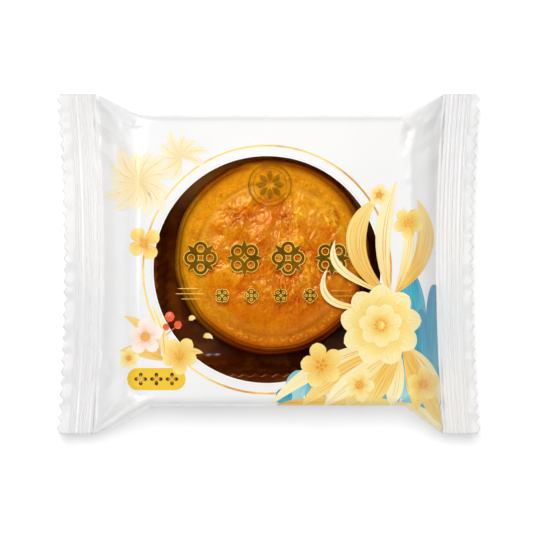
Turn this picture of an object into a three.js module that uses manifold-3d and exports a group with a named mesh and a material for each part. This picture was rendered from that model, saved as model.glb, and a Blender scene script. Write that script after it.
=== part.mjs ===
// A round baked mooncake in a square moulded tray, sealed in a flow-wrap sachet.
// The sachet is a tube of film: flat over the tray, creased down its four sides and pressed
// into a ribbed, zigzag-cut fin at each end. A round clear window in its top shows the cake.
//
// Millimetres, +Z up, +X along the sachet from fin to fin. The origin is the middle of the
// sachet's length and width, on the surface that it lies on.

import * as THREE from 'three';
import { mergeVertices } from 'three/addons/utils/BufferGeometryUtils.js';
import Module from 'manifold-3d';

const wasm = await Module();
wasm.setup();

// ---------------------------------------------------------------- driving dimensions

const WALL = 0.8; // thickness of film and tray, drawn stouter than the real sheet
const GAP = 0.3; // space left between two pieces that touch

// The sachet's ends, at the two corners of each fin.
const SEAL_HALF_WIDTH = 46;
const SEAL_IN_LEFT = -46.6; // where the ribbed band starts, seen from the middle
const SEAL_IN_RIGHT = 47.4;
const CUT_LEFT = -57.5; // tips of the cut teeth
const CUT_RIGHT = 57.5;
const SEAL_HEIGHT = 9; // how high the fins stand over the table
const SEAL_BOW = 2; // how far the middle of a fin is drawn in
const SEAL_WAVE = 0.5; // rise and fall along a fin
const FIN_THICKNESS = 0.8;

// The ribs pressed into the fins, and the zigzag cut.
const RIB_COUNT = 8;
const RIB_BAND = 7.2;
const RIB_HEIGHT = 0.22;
const TOOTH_COUNT = 30;
const TOOTH_DEPTH = 1.2;

// The filled body of the sachet.
const RIDGE_LEFT = -35.2; // where the flat top turns down to the fin
const RIDGE_RIGHT = 39.5;
const CORNER_BACK_LEFT = -35; // where the side edges start to spread to the fin's corners
const CORNER_BACK_RIGHT = 36;
const CORNER_FRONT_LEFT = -31.5;
const CORNER_FRONT_RIGHT = 36.6;
const BODY_BACK = 40.2; // widest, at the +Y side
const BODY_FRONT = 38.2; // widest, at the -Y side
const TOP_INSET = 1; // the top's edge lies this far inside the widest line
const TOP_HEIGHT = 20.3;
const WIDEST_HEIGHT = 17.8;
const BASE_LEFT = -30;
const BASE_RIGHT = 33;
const BASE_HALF_WIDTH = 31.5;
const EDGE_ROUND = 2.2;

// The film is lifted a little where it lies on the cake.
const CROWN_RISE = 1.5;
const CROWN_FLAT_RADIUS = 16;
const CROWN_END_RADIUS = 36;

// The lengthwise back seal, folded flat under the sachet.
const BACK_SEAL_HALF_WIDTH = 5;
const BACK_SEAL_THICKNESS = 0.35;

const WINDOW_CENTRE = new THREE.Vector2(-0.4, -1.5);
const WINDOW_RADIUS = 30.6;

const TRAY_CENTRE = new THREE.Vector2(1, 1.3);
const CUP_RIM_HALF = 31; // half the side of the square cup, at its rim
const CUP_FLOOR_HALF = 28.6;
const CUP_CORNER = 13;
const FLANGE_HALF_LENGTH = 35.8;
const FLANGE_HALF_WIDTH = 37.2;
const FLANGE_CORNER = 9;
const FLANGE_HEIGHT = 18.9; // top face of the flange
const RIM_BEAD = 0.35;
const RIM_BEAD_WIDTH = 0.9;
const FLUTE_COUNT = 76;
const FLUTE_DEPTH = 0.35;

const CAKE_CENTRE = new THREE.Vector2(1, 1.8);
const CAKE_RADIUS = 26.6;
const CAKE_HEIGHT = 18;
const CAKE_FOOT_ROUND = 2;
const CREASE_RADIUS = 25.3; // fold between the side and the top's rim
const CREASE_HEIGHT = 14.4;
const RIDGE_RADIUS = 23.1; // raised ring round the top
const VALLEY_RADIUS = 21.6; // shallow ring inside it
const CENTRE_RADIUS = 18; // the middle is puffed up inside this radius

// ---------------------------------------------------------------- small helpers

const { lerp, clamp, smoothstep } = THREE.MathUtils;

// A straight ramp from 0 to 1 with its two ends eased, as film runs off an edge.
function easedRamp(t) {
  const eased = smoothstep(t, 0, 1);
  return lerp(clamp(t, 0, 1), eased, 0.6);
}

// 0 over the body and 1 at the fin, between the two x values of the end that x is nearer to.
function endBlend(x, startLeft, startRight) {
  const left = (startLeft - x) / (startLeft - SEAL_IN_LEFT);
  const right = (x - startRight) / (SEAL_IN_RIGHT - startRight);
  return clamp(Math.max(left, right), 0, 1);
}

function toManifold(geometry) {
  geometry.deleteAttribute('normal');
  geometry.deleteAttribute('uv');
  const merged = mergeVertices(geometry, 1e-4);
  const mesh = new wasm.Mesh({
    numProp: 3,
    vertProperties: new Float32Array(merged.attributes.position.array),
    triVerts: new Uint32Array(merged.index.array),
  });
  return new wasm.Manifold(mesh);
}

function toGeometry(solid) {
  const { numProp, vertProperties, triVerts } = solid.getMesh();
  const geometry = new THREE.BufferGeometry();
  const interleaved = new THREE.InterleavedBuffer(vertProperties, numProp);
  geometry.setAttribute('position', new THREE.InterleavedBufferAttribute(interleaved, 3, 0));
  geometry.setIndex(new THREE.BufferAttribute(triVerts, 1));
  const flat = geometry.toNonIndexed();
  flat.computeVertexNormals();
  return flat;
}

function upright(radius, bottom, top, centre, steps) {
  const geometry = new THREE.CylinderGeometry(radius, radius, top - bottom, steps);
  geometry.rotateX(Math.PI / 2);
  geometry.translate(centre.x, centre.y, (top + bottom) / 2);
  return toManifold(geometry);
}

// ---------------------------------------------------------------- the film tube

// How far the film over the cake stands above the flat top.
function crown(x, y) {
  const distance = Math.hypot(x - CAKE_CENTRE.x, y - CAKE_CENTRE.y);
  return CROWN_RISE * (1 - smoothstep(distance, CROWN_FLAT_RADIUS, CROWN_END_RADIUS));
}

// The ribs rise and fall along x only, inside the band of either fin.
function ribLift(x) {
  const inset = x < 0 ? SEAL_IN_LEFT - x : x - SEAL_IN_RIGHT;
  if (inset < 0 || inset > RIB_BAND) return 0;
  const phase = ((inset / RIB_BAND) * RIB_COUNT) % 1;
  return RIB_HEIGHT * (1 - Math.abs(4 * phase - 2));
}

// Corners of the tube's cross-section at one side: the widest line, the top and the base.
// A wall is taken off all round, and off the sloping ends by reading them a little further out.
function sideCorners(x, wall, sign, bodyWidth, cornerLeft, cornerRight) {
  const reach = x + Math.sign(x) * wall;
  const top = easedRamp(endBlend(reach, RIDGE_LEFT, RIDGE_RIGHT));
  const base = endBlend(reach, BASE_LEFT, BASE_RIGHT) ** 1.15;
  const side = endBlend(x, cornerLeft, cornerRight);
  const widths = {
    widest: lerp(bodyWidth, SEAL_HALF_WIDTH, side),
    top: lerp(bodyWidth - TOP_INSET, SEAL_HALF_WIDTH, side),
    base: lerp(BASE_HALF_WIDTH, SEAL_HALF_WIDTH, endBlend(x, BASE_LEFT, BASE_RIGHT)),
  };
  const heights = {
    widest: lerp(WIDEST_HEIGHT, SEAL_HEIGHT, side),
    top: lerp(TOP_HEIGHT, SEAL_HEIGHT + FIN_THICKNESS / 2, top) - wall,
    base: lerp(BACK_SEAL_THICKNESS, SEAL_HEIGHT - FIN_THICKNESS / 2, base) + wall,
  };
  const corner = (name) =>
    new THREE.Vector2(sign * (widths[name] - wall), heights[name] + ribLift(x));
  return { widest: corner('widest'), top: corner('top'), base: corner('base') };
}

function sectionCorners(x, wall) {
  return {
    back: sideCorners(x, wall, 1, BODY_BACK, CORNER_BACK_LEFT, CORNER_BACK_RIGHT),
    front: sideCorners(x, wall, -1, BODY_FRONT, CORNER_FRONT_LEFT, CORNER_FRONT_RIGHT),
  };
}

// A corner cut back along both of its lines and joined by a curve, as three points.
function roundedCorner(before, corner, after) {
  const from = before.clone().sub(corner);
  const to = after.clone().sub(corner);
  const cut = Math.min(EDGE_ROUND, from.length() * 0.4, to.length() * 0.4);
  const start = corner.clone().add(from.setLength(cut));
  const end = corner.clone().add(to.setLength(cut));
  return new THREE.QuadraticBezierCurve(start, corner, end).getPoints(2);
}

// The cross-section as a closed loop of points, from the back's widest line over the top.
function filmSection(x, wall, topSteps) {
  const { back, front } = sectionCorners(x, wall);
  const topBack = roundedCorner(back.widest, back.top, front.top);
  const topFront = roundedCorner(back.top, front.top, front.widest);
  const baseFront = roundedCorner(front.widest, front.base, back.base);
  const baseBack = roundedCorner(front.base, back.base, back.widest);

  const across = (a, b, t) => a.clone().lerp(b, t);
  const roof = [];
  for (let i = 1; i < topSteps; i++) {
    roof.push(across(topBack[2], topFront[0], i / topSteps));
  }
  for (const p of [...topBack, ...roof, ...topFront]) {
    p.y += crown(x, p.x);
  }

  const floor = [];
  for (const t of [0.2, 0.38]) {
    floor.push(across(baseFront[2], baseBack[0], t));
  }
  if (wall === 0) {
    const flatZ = floor[0].y;
    const foldZ = flatZ - BACK_SEAL_THICKNESS;
    floor.push(new THREE.Vector2(-BACK_SEAL_HALF_WIDTH - 0.1, flatZ));
    floor.push(new THREE.Vector2(-BACK_SEAL_HALF_WIDTH, foldZ));
    floor.push(new THREE.Vector2(BACK_SEAL_HALF_WIDTH, foldZ));
    floor.push(new THREE.Vector2(BACK_SEAL_HALF_WIDTH + 0.1, flatZ));
  }
  for (const t of [0.62, 0.8]) {
    floor.push(across(baseFront[2], baseBack[0], t));
  }
  return [back.widest, ...topBack, ...roof, ...topFront, front.widest,
    ...baseFront, ...floor, ...baseBack];
}

// Draws the middle of each fin in towards the body and gives it a slight wave.
function bendEnds(point) {
  const pull = endBlend(point.x, RIDGE_LEFT, RIDGE_RIGHT);
  const across = point.y / SEAL_HALF_WIDTH;
  point.x -= Math.sign(point.x) * SEAL_BOW * (1 - across * across) * pull;
  point.z += SEAL_WAVE * Math.cos(1.5 * Math.PI * across) * pull;
}

// A cylinder whose rings take the shape of the tube's cross-section at each station along x.
function filmTube(stations, wall, topSteps) {
  const sections = stations.map((x) => filmSection(x, wall, topSteps));
  const count = sections[0].length;
  const tube = new THREE.CylinderGeometry(1, 1, 1, count, stations.length - 1);
  const position = tube.attributes.position;
  const point = new THREE.Vector3();
  for (let i = 0; i < position.count; i++) {
    point.fromBufferAttribute(position, i);
    const ring = Math.round((point.y + 0.5) * (stations.length - 1));
    const turn = Math.atan2(point.x, point.z) / (2 * Math.PI);
    const onAxis = Math.hypot(point.x, point.z) < 0.5;
    const step = (Math.round(turn * count) + count) % count;
    const { back, front } = sectionCorners(stations[ring], wall);
    const middle = (back.base.y + front.top.y) / 2;
    const place = onAxis ? new THREE.Vector2(0, middle) : sections[ring][step];
    point.set(stations[ring], place.x, place.y);
    bendEnds(point);
    position.setXYZ(i, point.x, point.y, point.z);
  }
  return toManifold(tube);
}

// Evenly spaced values from a to b, both included.
function spaced(a, b, steps) {
  return Array.from({ length: steps + 1 }, (_, i) => lerp(a, b, i / steps));
}

// Stations along x in rising order, where two that nearly coincide count as one.
function inOrder(stations) {
  const closest = 0.3;
  return stations.sort((a, b) => a - b).filter((x, i, all) => i === 0 || x - all[i - 1] > closest);
}

const BENDS = [
  CORNER_BACK_LEFT, CORNER_FRONT_LEFT, BASE_LEFT, BASE_RIGHT, CORNER_BACK_RIGHT, CORNER_FRONT_RIGHT,
];

function outerStations() {
  const past = 1.5; // the tube runs past the teeth, which are cut afterwards
  const slope = [0.12, 0.28, 0.5, 0.72, 0.88];
  return inOrder([
    CUT_LEFT - past,
    ...spaced(SEAL_IN_LEFT - RIB_BAND, SEAL_IN_LEFT, 2 * RIB_COUNT),
    ...slope.map((t) => lerp(SEAL_IN_LEFT, RIDGE_LEFT, t)),
    ...BENDS,
    ...spaced(BASE_LEFT, BASE_RIGHT, 8),
    RIDGE_RIGHT,
    ...slope.map((t) => lerp(SEAL_IN_RIGHT, RIDGE_RIGHT, t)),
    ...spaced(SEAL_IN_RIGHT, SEAL_IN_RIGHT + RIB_BAND, 2 * RIB_COUNT),
    CUT_RIGHT + past,
  ]);
}

function cavityStations() {
  const reach = 0.78; // the two films meet before the fins
  const left = lerp(RIDGE_LEFT, SEAL_IN_LEFT, reach);
  const right = lerp(RIDGE_RIGHT, SEAL_IN_RIGHT, reach);
  return inOrder([
    ...spaced(left, RIDGE_LEFT + WALL, 4),
    ...BENDS,
    ...spaced(BASE_LEFT, BASE_RIGHT, 8),
    ...spaced(RIDGE_RIGHT - WALL, right, 4),
  ]);
}

// The sachet's plan: straight sides and two bowed ends cut into teeth.
function cutOutline() {
  const side = SEAL_HALF_WIDTH + 1;
  const pitch = (2 * SEAL_HALF_WIDTH) / TOOTH_COUNT;
  const edge = (tip, y, isTip) => {
    const across = y / SEAL_HALF_WIDTH;
    const drawn = SEAL_BOW * Math.max(0, 1 - across * across) + (isTip ? 0 : TOOTH_DEPTH);
    return new THREE.Vector2(tip - Math.sign(tip) * drawn, y);
  };
  const points = [];
  for (let i = 0; i <= 2 * TOOTH_COUNT; i++) {
    points.push(edge(CUT_RIGHT, -SEAL_HALF_WIDTH + (i * pitch) / 2, i % 2 === 1));
  }
  points.push(new THREE.Vector2(CUT_RIGHT - TOOTH_DEPTH, side));
  points.push(new THREE.Vector2(CUT_LEFT + TOOTH_DEPTH, side));
  for (let i = 2 * TOOTH_COUNT; i >= 0; i--) {
    points.push(edge(CUT_LEFT, -SEAL_HALF_WIDTH + (i * pitch) / 2, i % 2 === 1));
  }
  points.push(new THREE.Vector2(CUT_LEFT + TOOTH_DEPTH, -side));
  points.push(new THREE.Vector2(CUT_RIGHT - TOOTH_DEPTH, -side));
  const prism = new THREE.ExtrudeGeometry(new THREE.Shape(points), {
    depth: 2 * TOP_HEIGHT,
    bevelEnabled: false,
  });
  prism.translate(0, 0, -TOP_HEIGHT / 2);
  return toManifold(prism);
}

const outer = filmTube(outerStations(), 0, 10);
const cavity = filmTube(cavityStations(), WALL, 8);
const shell = outer.subtract(cavity);
const aboveCavityFloor = TOP_HEIGHT / 2;
const overTop = TOP_HEIGHT * 1.5;

function wrapperGeometry() {
  const opening = upright(WINDOW_RADIUS, aboveCavityFloor, overTop, WINDOW_CENTRE, 72);
  return toGeometry(shell.subtract(opening).intersect(cutOutline()));
}

// The window is the piece of the same skin that fills the opening.
function windowGeometry() {
  const disc = upright(WINDOW_RADIUS - GAP, aboveCavityFloor, overTop, WINDOW_CENTRE, 72);
  return toGeometry(shell.intersect(disc));
}

// ---------------------------------------------------------------- the tray

const TRAY_UNDERSIDE = BACK_SEAL_THICKNESS + WALL + GAP;

// A rectangle with round corners about the origin, as evenly spaced points.
function roundedOutline(halfLength, halfWidth, corner, steps) {
  const shape = new THREE.Shape();
  const x = halfLength - corner;
  const y = halfWidth - corner;
  shape.moveTo(halfLength, -y);
  shape.absarc(x, y, corner, 0, Math.PI / 2);
  shape.absarc(-x, y, corner, Math.PI / 2, Math.PI);
  shape.absarc(-x, -y, corner, Math.PI, 1.5 * Math.PI);
  shape.absarc(x, -y, corner, 1.5 * Math.PI, 2 * Math.PI);
  shape.autoClose = true;
  return shape.getSpacedPoints(steps);
}

// A ring of the cup: a square, with every second point drawn in to make the flutes.
function cupRing(z, half, fluteShare) {
  const steps = 2 * FLUTE_COUNT;
  const depth = fluteShare * FLUTE_DEPTH;
  const corner = CUP_CORNER - (CUP_RIM_HALF - half);
  const crest = roundedOutline(half + depth, half + depth, corner + depth, steps);
  const trough = roundedOutline(half - depth, half - depth, corner - depth, steps);
  return { z, points: crest.map((point, i) => (i % 2 === 0 ? point : trough[i])) };
}

function flangeRing(z) {
  const steps = 2 * FLUTE_COUNT;
  return { z, points: roundedOutline(FLANGE_HALF_LENGTH, FLANGE_HALF_WIDTH, FLANGE_CORNER, steps) };
}

// The tray's wall as rings, from the middle of its underside out to the flange and back over
// the top to the middle of its floor.
function trayRings() {
  const floor = TRAY_UNDERSIDE + WALL;
  const flangeUnder = FLANGE_HEIGHT - WALL;
  const rim = FLANGE_HEIGHT + RIM_BEAD;
  return [
    { z: TRAY_UNDERSIDE },
    cupRing(TRAY_UNDERSIDE, CUP_FLOOR_HALF - 1.6, 0),
    cupRing(floor + 1, CUP_FLOOR_HALF + WALL, 0.6),
    cupRing(flangeUnder, CUP_RIM_HALF + WALL, 1),
    flangeRing(flangeUnder),
    flangeRing(FLANGE_HEIGHT),
    cupRing(FLANGE_HEIGHT, CUP_RIM_HALF + RIM_BEAD_WIDTH + 0.6, 0.6),
    cupRing(rim, CUP_RIM_HALF + RIM_BEAD_WIDTH, 1),
    cupRing(rim, CUP_RIM_HALF, 1),
    cupRing(floor + 2, CUP_FLOOR_HALF, 0.6),
    cupRing(floor, CUP_FLOOR_HALF - 2, 0),
    { z: floor },
  ];
}

function trayGeometry() {
  const rings = trayRings();
  const steps = 2 * FLUTE_COUNT;
  const profile = rings.map((ring, i) => new THREE.Vector2(ring.points ? CUP_RIM_HALF : 0, i));
  const tray = new THREE.LatheGeometry(profile, steps);
  const position = tray.attributes.position;
  for (let i = 0; i < position.count; i++) {
    const ring = rings[i % rings.length];
    const turn = Math.floor(i / rings.length) % steps;
    const place = ring.points ? ring.points[turn] : new THREE.Vector2();
    position.setXYZ(i, TRAY_CENTRE.x + place.x, TRAY_CENTRE.y + place.y, ring.z);
  }
  return toGeometry(toManifold(tray));
}

// ---------------------------------------------------------------- the mooncake

const CAKE_BOTTOM = TRAY_UNDERSIDE + WALL + GAP;

// Half of the cake's outline, from the middle of its base over the side to its top.
function cakeProfile() {
  const outline = new THREE.Path();
  outline.moveTo(0, 0);
  outline.lineTo(CAKE_RADIUS - 2 * CAKE_FOOT_ROUND, 0);
  outline.quadraticCurveTo(CAKE_RADIUS, 0, CAKE_RADIUS, 3 * CAKE_FOOT_ROUND);
  outline.quadraticCurveTo(CAKE_RADIUS, CREASE_HEIGHT - 1, CREASE_RADIUS, CREASE_HEIGHT);
  outline.quadraticCurveTo(CREASE_RADIUS, CAKE_HEIGHT - 0.8, RIDGE_RADIUS, CAKE_HEIGHT - 0.8);
  outline.quadraticCurveTo(VALLEY_RADIUS, CAKE_HEIGHT - 1.6, CENTRE_RADIUS, CAKE_HEIGHT - 0.9);
  outline.quadraticCurveTo(CENTRE_RADIUS / 2, CAKE_HEIGHT - 0.3, 0, CAKE_HEIGHT - 0.3);
  return outline.getPoints(4);
}

// Low swells left by baking, as the sum of three waves across the top.
function bakedSwell(x, y) {
  const broad = Math.sin(x * 0.31 + 0.8) * Math.cos(y * 0.27 - 0.4);
  const middle = Math.sin(x * 0.62 - y * 0.45 + 1.9);
  const fine = Math.cos(x * 0.9 + y * 1.1);
  return 0.16 * broad + 0.09 * middle + 0.05 * fine;
}

function cakeGeometry() {
  const cake = new THREE.LatheGeometry(cakeProfile(), 60);
  const position = cake.attributes.position;
  for (let i = 0; i < position.count; i++) {
    const x = position.getX(i);
    const y = -position.getZ(i);
    const height = position.getY(i);
    const share = clamp(height / CAKE_HEIGHT, 0, 1) ** 4;
    const z = CAKE_BOTTOM + height + share * bakedSwell(x, y);
    position.setXYZ(i, CAKE_CENTRE.x + x, CAKE_CENTRE.y + y, z);
  }
  return toGeometry(toManifold(cake));
}

// ---------------------------------------------------------------- the scene graph

function piece(name, geometry, look) {
  const mesh = new THREE.Mesh(geometry, new THREE.MeshStandardMaterial(look));
  mesh.name = name;
  return mesh;
}

const group = new THREE.Group();
group.add(
  piece('wrapper', wrapperGeometry(), { color: 0xf1f1f3, roughness: 0.28, metalness: 0 }),
  piece('window', windowGeometry(), {
    color: 0xffffff, roughness: 0.08, metalness: 0, transparent: true, opacity: 0.2,
  }),
  piece('tray', trayGeometry(), { color: 0x3a1a08, roughness: 0.25, metalness: 0 }),
  piece('mooncake', cakeGeometry(), { color: 0xd98a24, roughness: 0.35, metalness: 0 }),
);

export default group;
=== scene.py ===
# %% [markdown]
# # A mooncake in its sachet
# The object is a round baked cake that sits in a square plastic tray, and a sachet of printed
# film is sealed round both. The imported solids come first, as a fixed frame. Every piece made
# below stands in that frame.

# %% Load the solids
import math

import bmesh
import bpy
import numpy as np
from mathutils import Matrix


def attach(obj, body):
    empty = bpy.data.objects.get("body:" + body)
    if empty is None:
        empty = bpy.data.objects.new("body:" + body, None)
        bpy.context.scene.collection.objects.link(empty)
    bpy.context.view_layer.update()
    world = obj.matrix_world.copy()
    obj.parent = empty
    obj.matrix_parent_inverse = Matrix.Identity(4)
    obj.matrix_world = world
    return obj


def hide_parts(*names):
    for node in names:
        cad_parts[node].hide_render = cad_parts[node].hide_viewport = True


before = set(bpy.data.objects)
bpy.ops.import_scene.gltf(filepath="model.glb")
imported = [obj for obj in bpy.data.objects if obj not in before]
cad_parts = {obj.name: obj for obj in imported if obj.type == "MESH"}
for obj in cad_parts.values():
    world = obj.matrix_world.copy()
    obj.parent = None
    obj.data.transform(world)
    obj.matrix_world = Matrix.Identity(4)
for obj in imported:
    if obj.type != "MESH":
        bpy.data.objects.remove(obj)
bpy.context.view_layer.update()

# %% [markdown]
# ## Small helpers
# The sizes are millimetres, as on a drawing, and are turned into metres when a mesh is
# written. Whole sheets of points are worked at once as arrays, which keeps fine folds quick.

# %% Measures and ramps
MM = 0.001


def mix(a, b, share):
    return a + (b - a) * share


def ramp(value, start, end):
    """0 at start and 1 at end, straight between them."""
    return np.clip((value - start) / (end - start), 0.0, 1.0)


def eased(share):
    """The same ramp with both of its ends rounded."""
    return share * share * (3.0 - 2.0 * share)


def ink(red, green, blue):
    """A colour as a printer would name it, 0 to 255, as the light it sends back."""
    shares = [c / 255.0 for c in (red, green, blue)]
    linear = [s / 12.92 if s < 0.04045 else ((s + 0.055) / 1.055) ** 2.4 for s in shares]
    return (*linear, 1.0)


print("a mid grey ink sends back", round(ink(128, 128, 128)[0], 3), "of the light")

# %% [markdown]
# ## The form of the upper film
# The film is a tube: flat over the tray, turned down at both sides, and drawn out at each end
# into a fin that is wider than the body. A cloth simulation could find this form, but the
# folds have to land where they are wanted, so the height is worked out from a few sizes.

# %% The sachet's sizes
FIN_HALF_WIDTH = 46.0
FIN_LEFT = -46.6  # where the pressed band starts, seen from the middle
FIN_RIGHT = 47.4
FIN_TIP = 57.5
FIN_HEIGHT = 9.0
FIN_SKIN = 0.08
FIN_BOW = 2.0  # how far the middle of a fin is drawn in
FIN_WAVE = 0.5
RIB_BAND = 7.2
TOOTH_COUNT = 30
TOOTH_DEPTH = 1.2

RIDGE_LEFT = -35.2  # where the flat top turns down to the fin
RIDGE_RIGHT = 39.5
CORNER_BACK = (-35.0, 36.0)  # where the side edges start to spread
CORNER_FRONT = (-31.5, 36.6)
BODY_BACK = 40.2
BODY_FRONT = 38.2
TOP_HEIGHT = 20.3
CROWN_LIFT = 1.3  # how far the cake lifts the film over it
SHOULDER_HEIGHT = 17.8
SHOULDER_RUN = 2.5
CAKE_X, CAKE_Y = 1.0, 1.8
WINDOW_X, WINDOW_Y = -0.4, -1.5
WINDOW_RADIUS = 30.6
print("sachet:", 2 * FIN_TIP, "mm from tip to tip and", 2 * FIN_HALF_WIDTH, "mm wide")


# %% The sachet's outline
def soft_ramp(value, start, end, rounding):
    """A ramp whose start is rounded, as film bends over an edge and never folds sharp."""
    share = (value - start) / (end - start)
    return np.clip(0.5 * (share + np.sqrt(share**2 + rounding**2)), 0.0, 1.0)


def end_share(x, start_left, start_right):
    """0 over the body and 1 at either fin."""
    return np.maximum(ramp(x, start_left, FIN_LEFT), ramp(x, start_right, FIN_RIGHT))


def side_share(x, back):
    return np.where(back, end_share(x, *CORNER_BACK), end_share(x, *CORNER_FRONT))


def half_width(x, back):
    return mix(np.where(back, BODY_BACK, BODY_FRONT), FIN_HALF_WIDTH, side_share(x, back))


print("half width over the tray:", half_width(0.0, True), "and at a fin:", half_width(-50.0, True))

# %% [markdown]
# Over the tray the film is nearly flat, and from there it falls to the fins. A straight slope
# would fold it sharp at its top, and film never does that, so the slope starts as a rounded
# ramp. At the two long sides the film turns down along a quarter circle.


# %% Height of the smooth upper film
def crown(x, y):
    """The film lifts a little where it lies on the cake."""
    distance = np.hypot(x - CAKE_X, y - CAKE_Y)
    return CROWN_LIFT * (1.0 - eased(ramp(distance, 16.0, 36.0)))


def top_height(x, y):
    """Height of the smooth upper film, before the fins are bowed."""
    back = y >= 0.0
    corner = eased(ramp(y, 25.0, 38.0))
    share = np.maximum(
        soft_ramp(x, RIDGE_LEFT, FIN_LEFT, 0.20 + 0.26 * corner),
        soft_ramp(x, RIDGE_RIGHT, FIN_RIGHT, 0.22),
    )
    slope = mix(share, share**1.7, 0.55)
    flat = mix(TOP_HEIGHT, FIN_HEIGHT + FIN_SKIN, slope) + crown(x, y)
    shoulder = mix(SHOULDER_HEIGHT, FIN_HEIGHT + FIN_SKIN, side_share(x, back))
    edge = ramp(half_width(x, back) - np.abs(y), SHOULDER_RUN, 0.0)
    drop = 1.0 - np.sqrt(np.maximum(1.0 - edge**2, 0.0))
    return mix(flat, np.minimum(shoulder, flat), drop)


print("smooth film over the middle:", top_height(np.zeros(1), np.zeros(1)).round(2), "mm high")

# %% [markdown]
# A fin isn't straight: its middle is drawn in, and it waves a little up and down. Bending each
# piece on its own would tear the ribs from the slope, so one rule shifts the whole fin.


# %% Bow of the fins
def bow(x, y):
    """How far the fins' middles are drawn in, and how far the fins rise and fall."""
    pull = end_share(x, RIDGE_LEFT, RIDGE_RIGHT)
    across = y / FIN_HALF_WIDTH
    drawn = np.sign(x) * FIN_BOW * (1.0 - across**2) * pull
    return x - drawn, FIN_WAVE * np.cos(1.5 * np.pi * across) * pull


def unbow(x, y):
    """The place on the unbowed film that ends up at x, y."""
    start = x
    for _ in range(6):
        start = x + (start - bow(start, y)[0])
    return start


print("the middle of the left cut edge ends up at x =", bow(-FIN_TIP, 0.0)[0], "mm")

# %% [markdown]
# ## Ribs, dents and creases
# Heated jaws press fine ribs into each fin, and the free edge outside them stays loose and
# dented. Film gathers at the corners of the body, so creases run from there to the corners of
# the fins. Each crease is a low ridge or groove along a line, which fades out at its ends.

# %% Ribs pressed by the sealing jaws
rng = np.random.default_rng(7)
RIB_WAVES = [
    (count, size, rng.uniform(0, 2 * np.pi), rng.uniform(-0.02, 0.02))
    for count, size in ((6.3, 0.17), (4.1, 0.09), (2.4, 0.07), (9.0, 0.03))
]


def rib_relief(x, y):
    """Ribs along the fin. Several close pitches beat together, so no two look alike."""
    inset = np.where(x < 0.0, FIN_LEFT - x, x - FIN_RIGHT) / RIB_BAND
    band = eased(ramp(inset, -0.02, 0.04)) * (1.0 - eased(ramp(inset, 0.98, 1.02)))
    lift = np.zeros_like(x)
    for count, size, phase, drift in RIB_WAVES:
        wander = 0.04 * np.sin(y * 0.09 + phase * 3.0) + drift * y / FIN_HALF_WIDTH
        side = np.where(x < 0.0, 0.0, 2.0)
        lift += size * np.sin(2 * np.pi * count * inset + phase + side + wander)
    return lift * band


print("waves across the ribbed band:", [wave[0] for wave in RIB_WAVES])

# %% [markdown]
# Outside the ribs the sheets aren't welded, so their cut edge is soft and gets dented. It could
# be sculpted by hand. A row of small bumps, some up and some down, gives the same look and is
# spread evenly with a little chance.


# %% Dents in the loose edge
DENT_PLACE = 55.6  # how far out the dents lie
DENT_REACH = 1.7
DENT_DEPTH = 0.26


def edge_dents(side, count):
    """Where the dents lie along one cut edge: place along it, size, and up or down."""
    spread = np.linspace(-0.92, 0.92, count) + rng.uniform(-0.06, 0.06, count)
    return [
        (side * DENT_PLACE, y * FIN_HALF_WIDTH, rng.uniform(0.9, 1.9), rng.choice((-1, 1)))
        for y in spread
    ]


DENTS = edge_dents(-1, 24) + edge_dents(1, 24)


def dent_relief(x, y):
    lift = np.zeros_like(x)
    loose = eased(ramp(np.abs(x), FIN_TIP - 3.6, FIN_TIP - 2.6))
    for dent_x, dent_y, size, way in DENTS:
        reach = ((x - dent_x) / DENT_REACH) ** 2 + ((y - dent_y) / size) ** 2
        lift += way * DENT_DEPTH * np.exp(-reach)
    return lift * loose


print(len(DENTS), "dents along the two cut edges")

# %% [markdown]
# Film gathers at the four corners of the body, where the side turns down and the fin spreads.
# Each crease is one row of a table: from one place to another, with a width, and a height at
# both ends, above zero for a ridge and below zero for a groove. A simulated cloth would fold
# where it likes, but a table can be tuned one fold at a time.

# %% Creases where the film gathers
CREASE_DEPTH = 1.5
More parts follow.
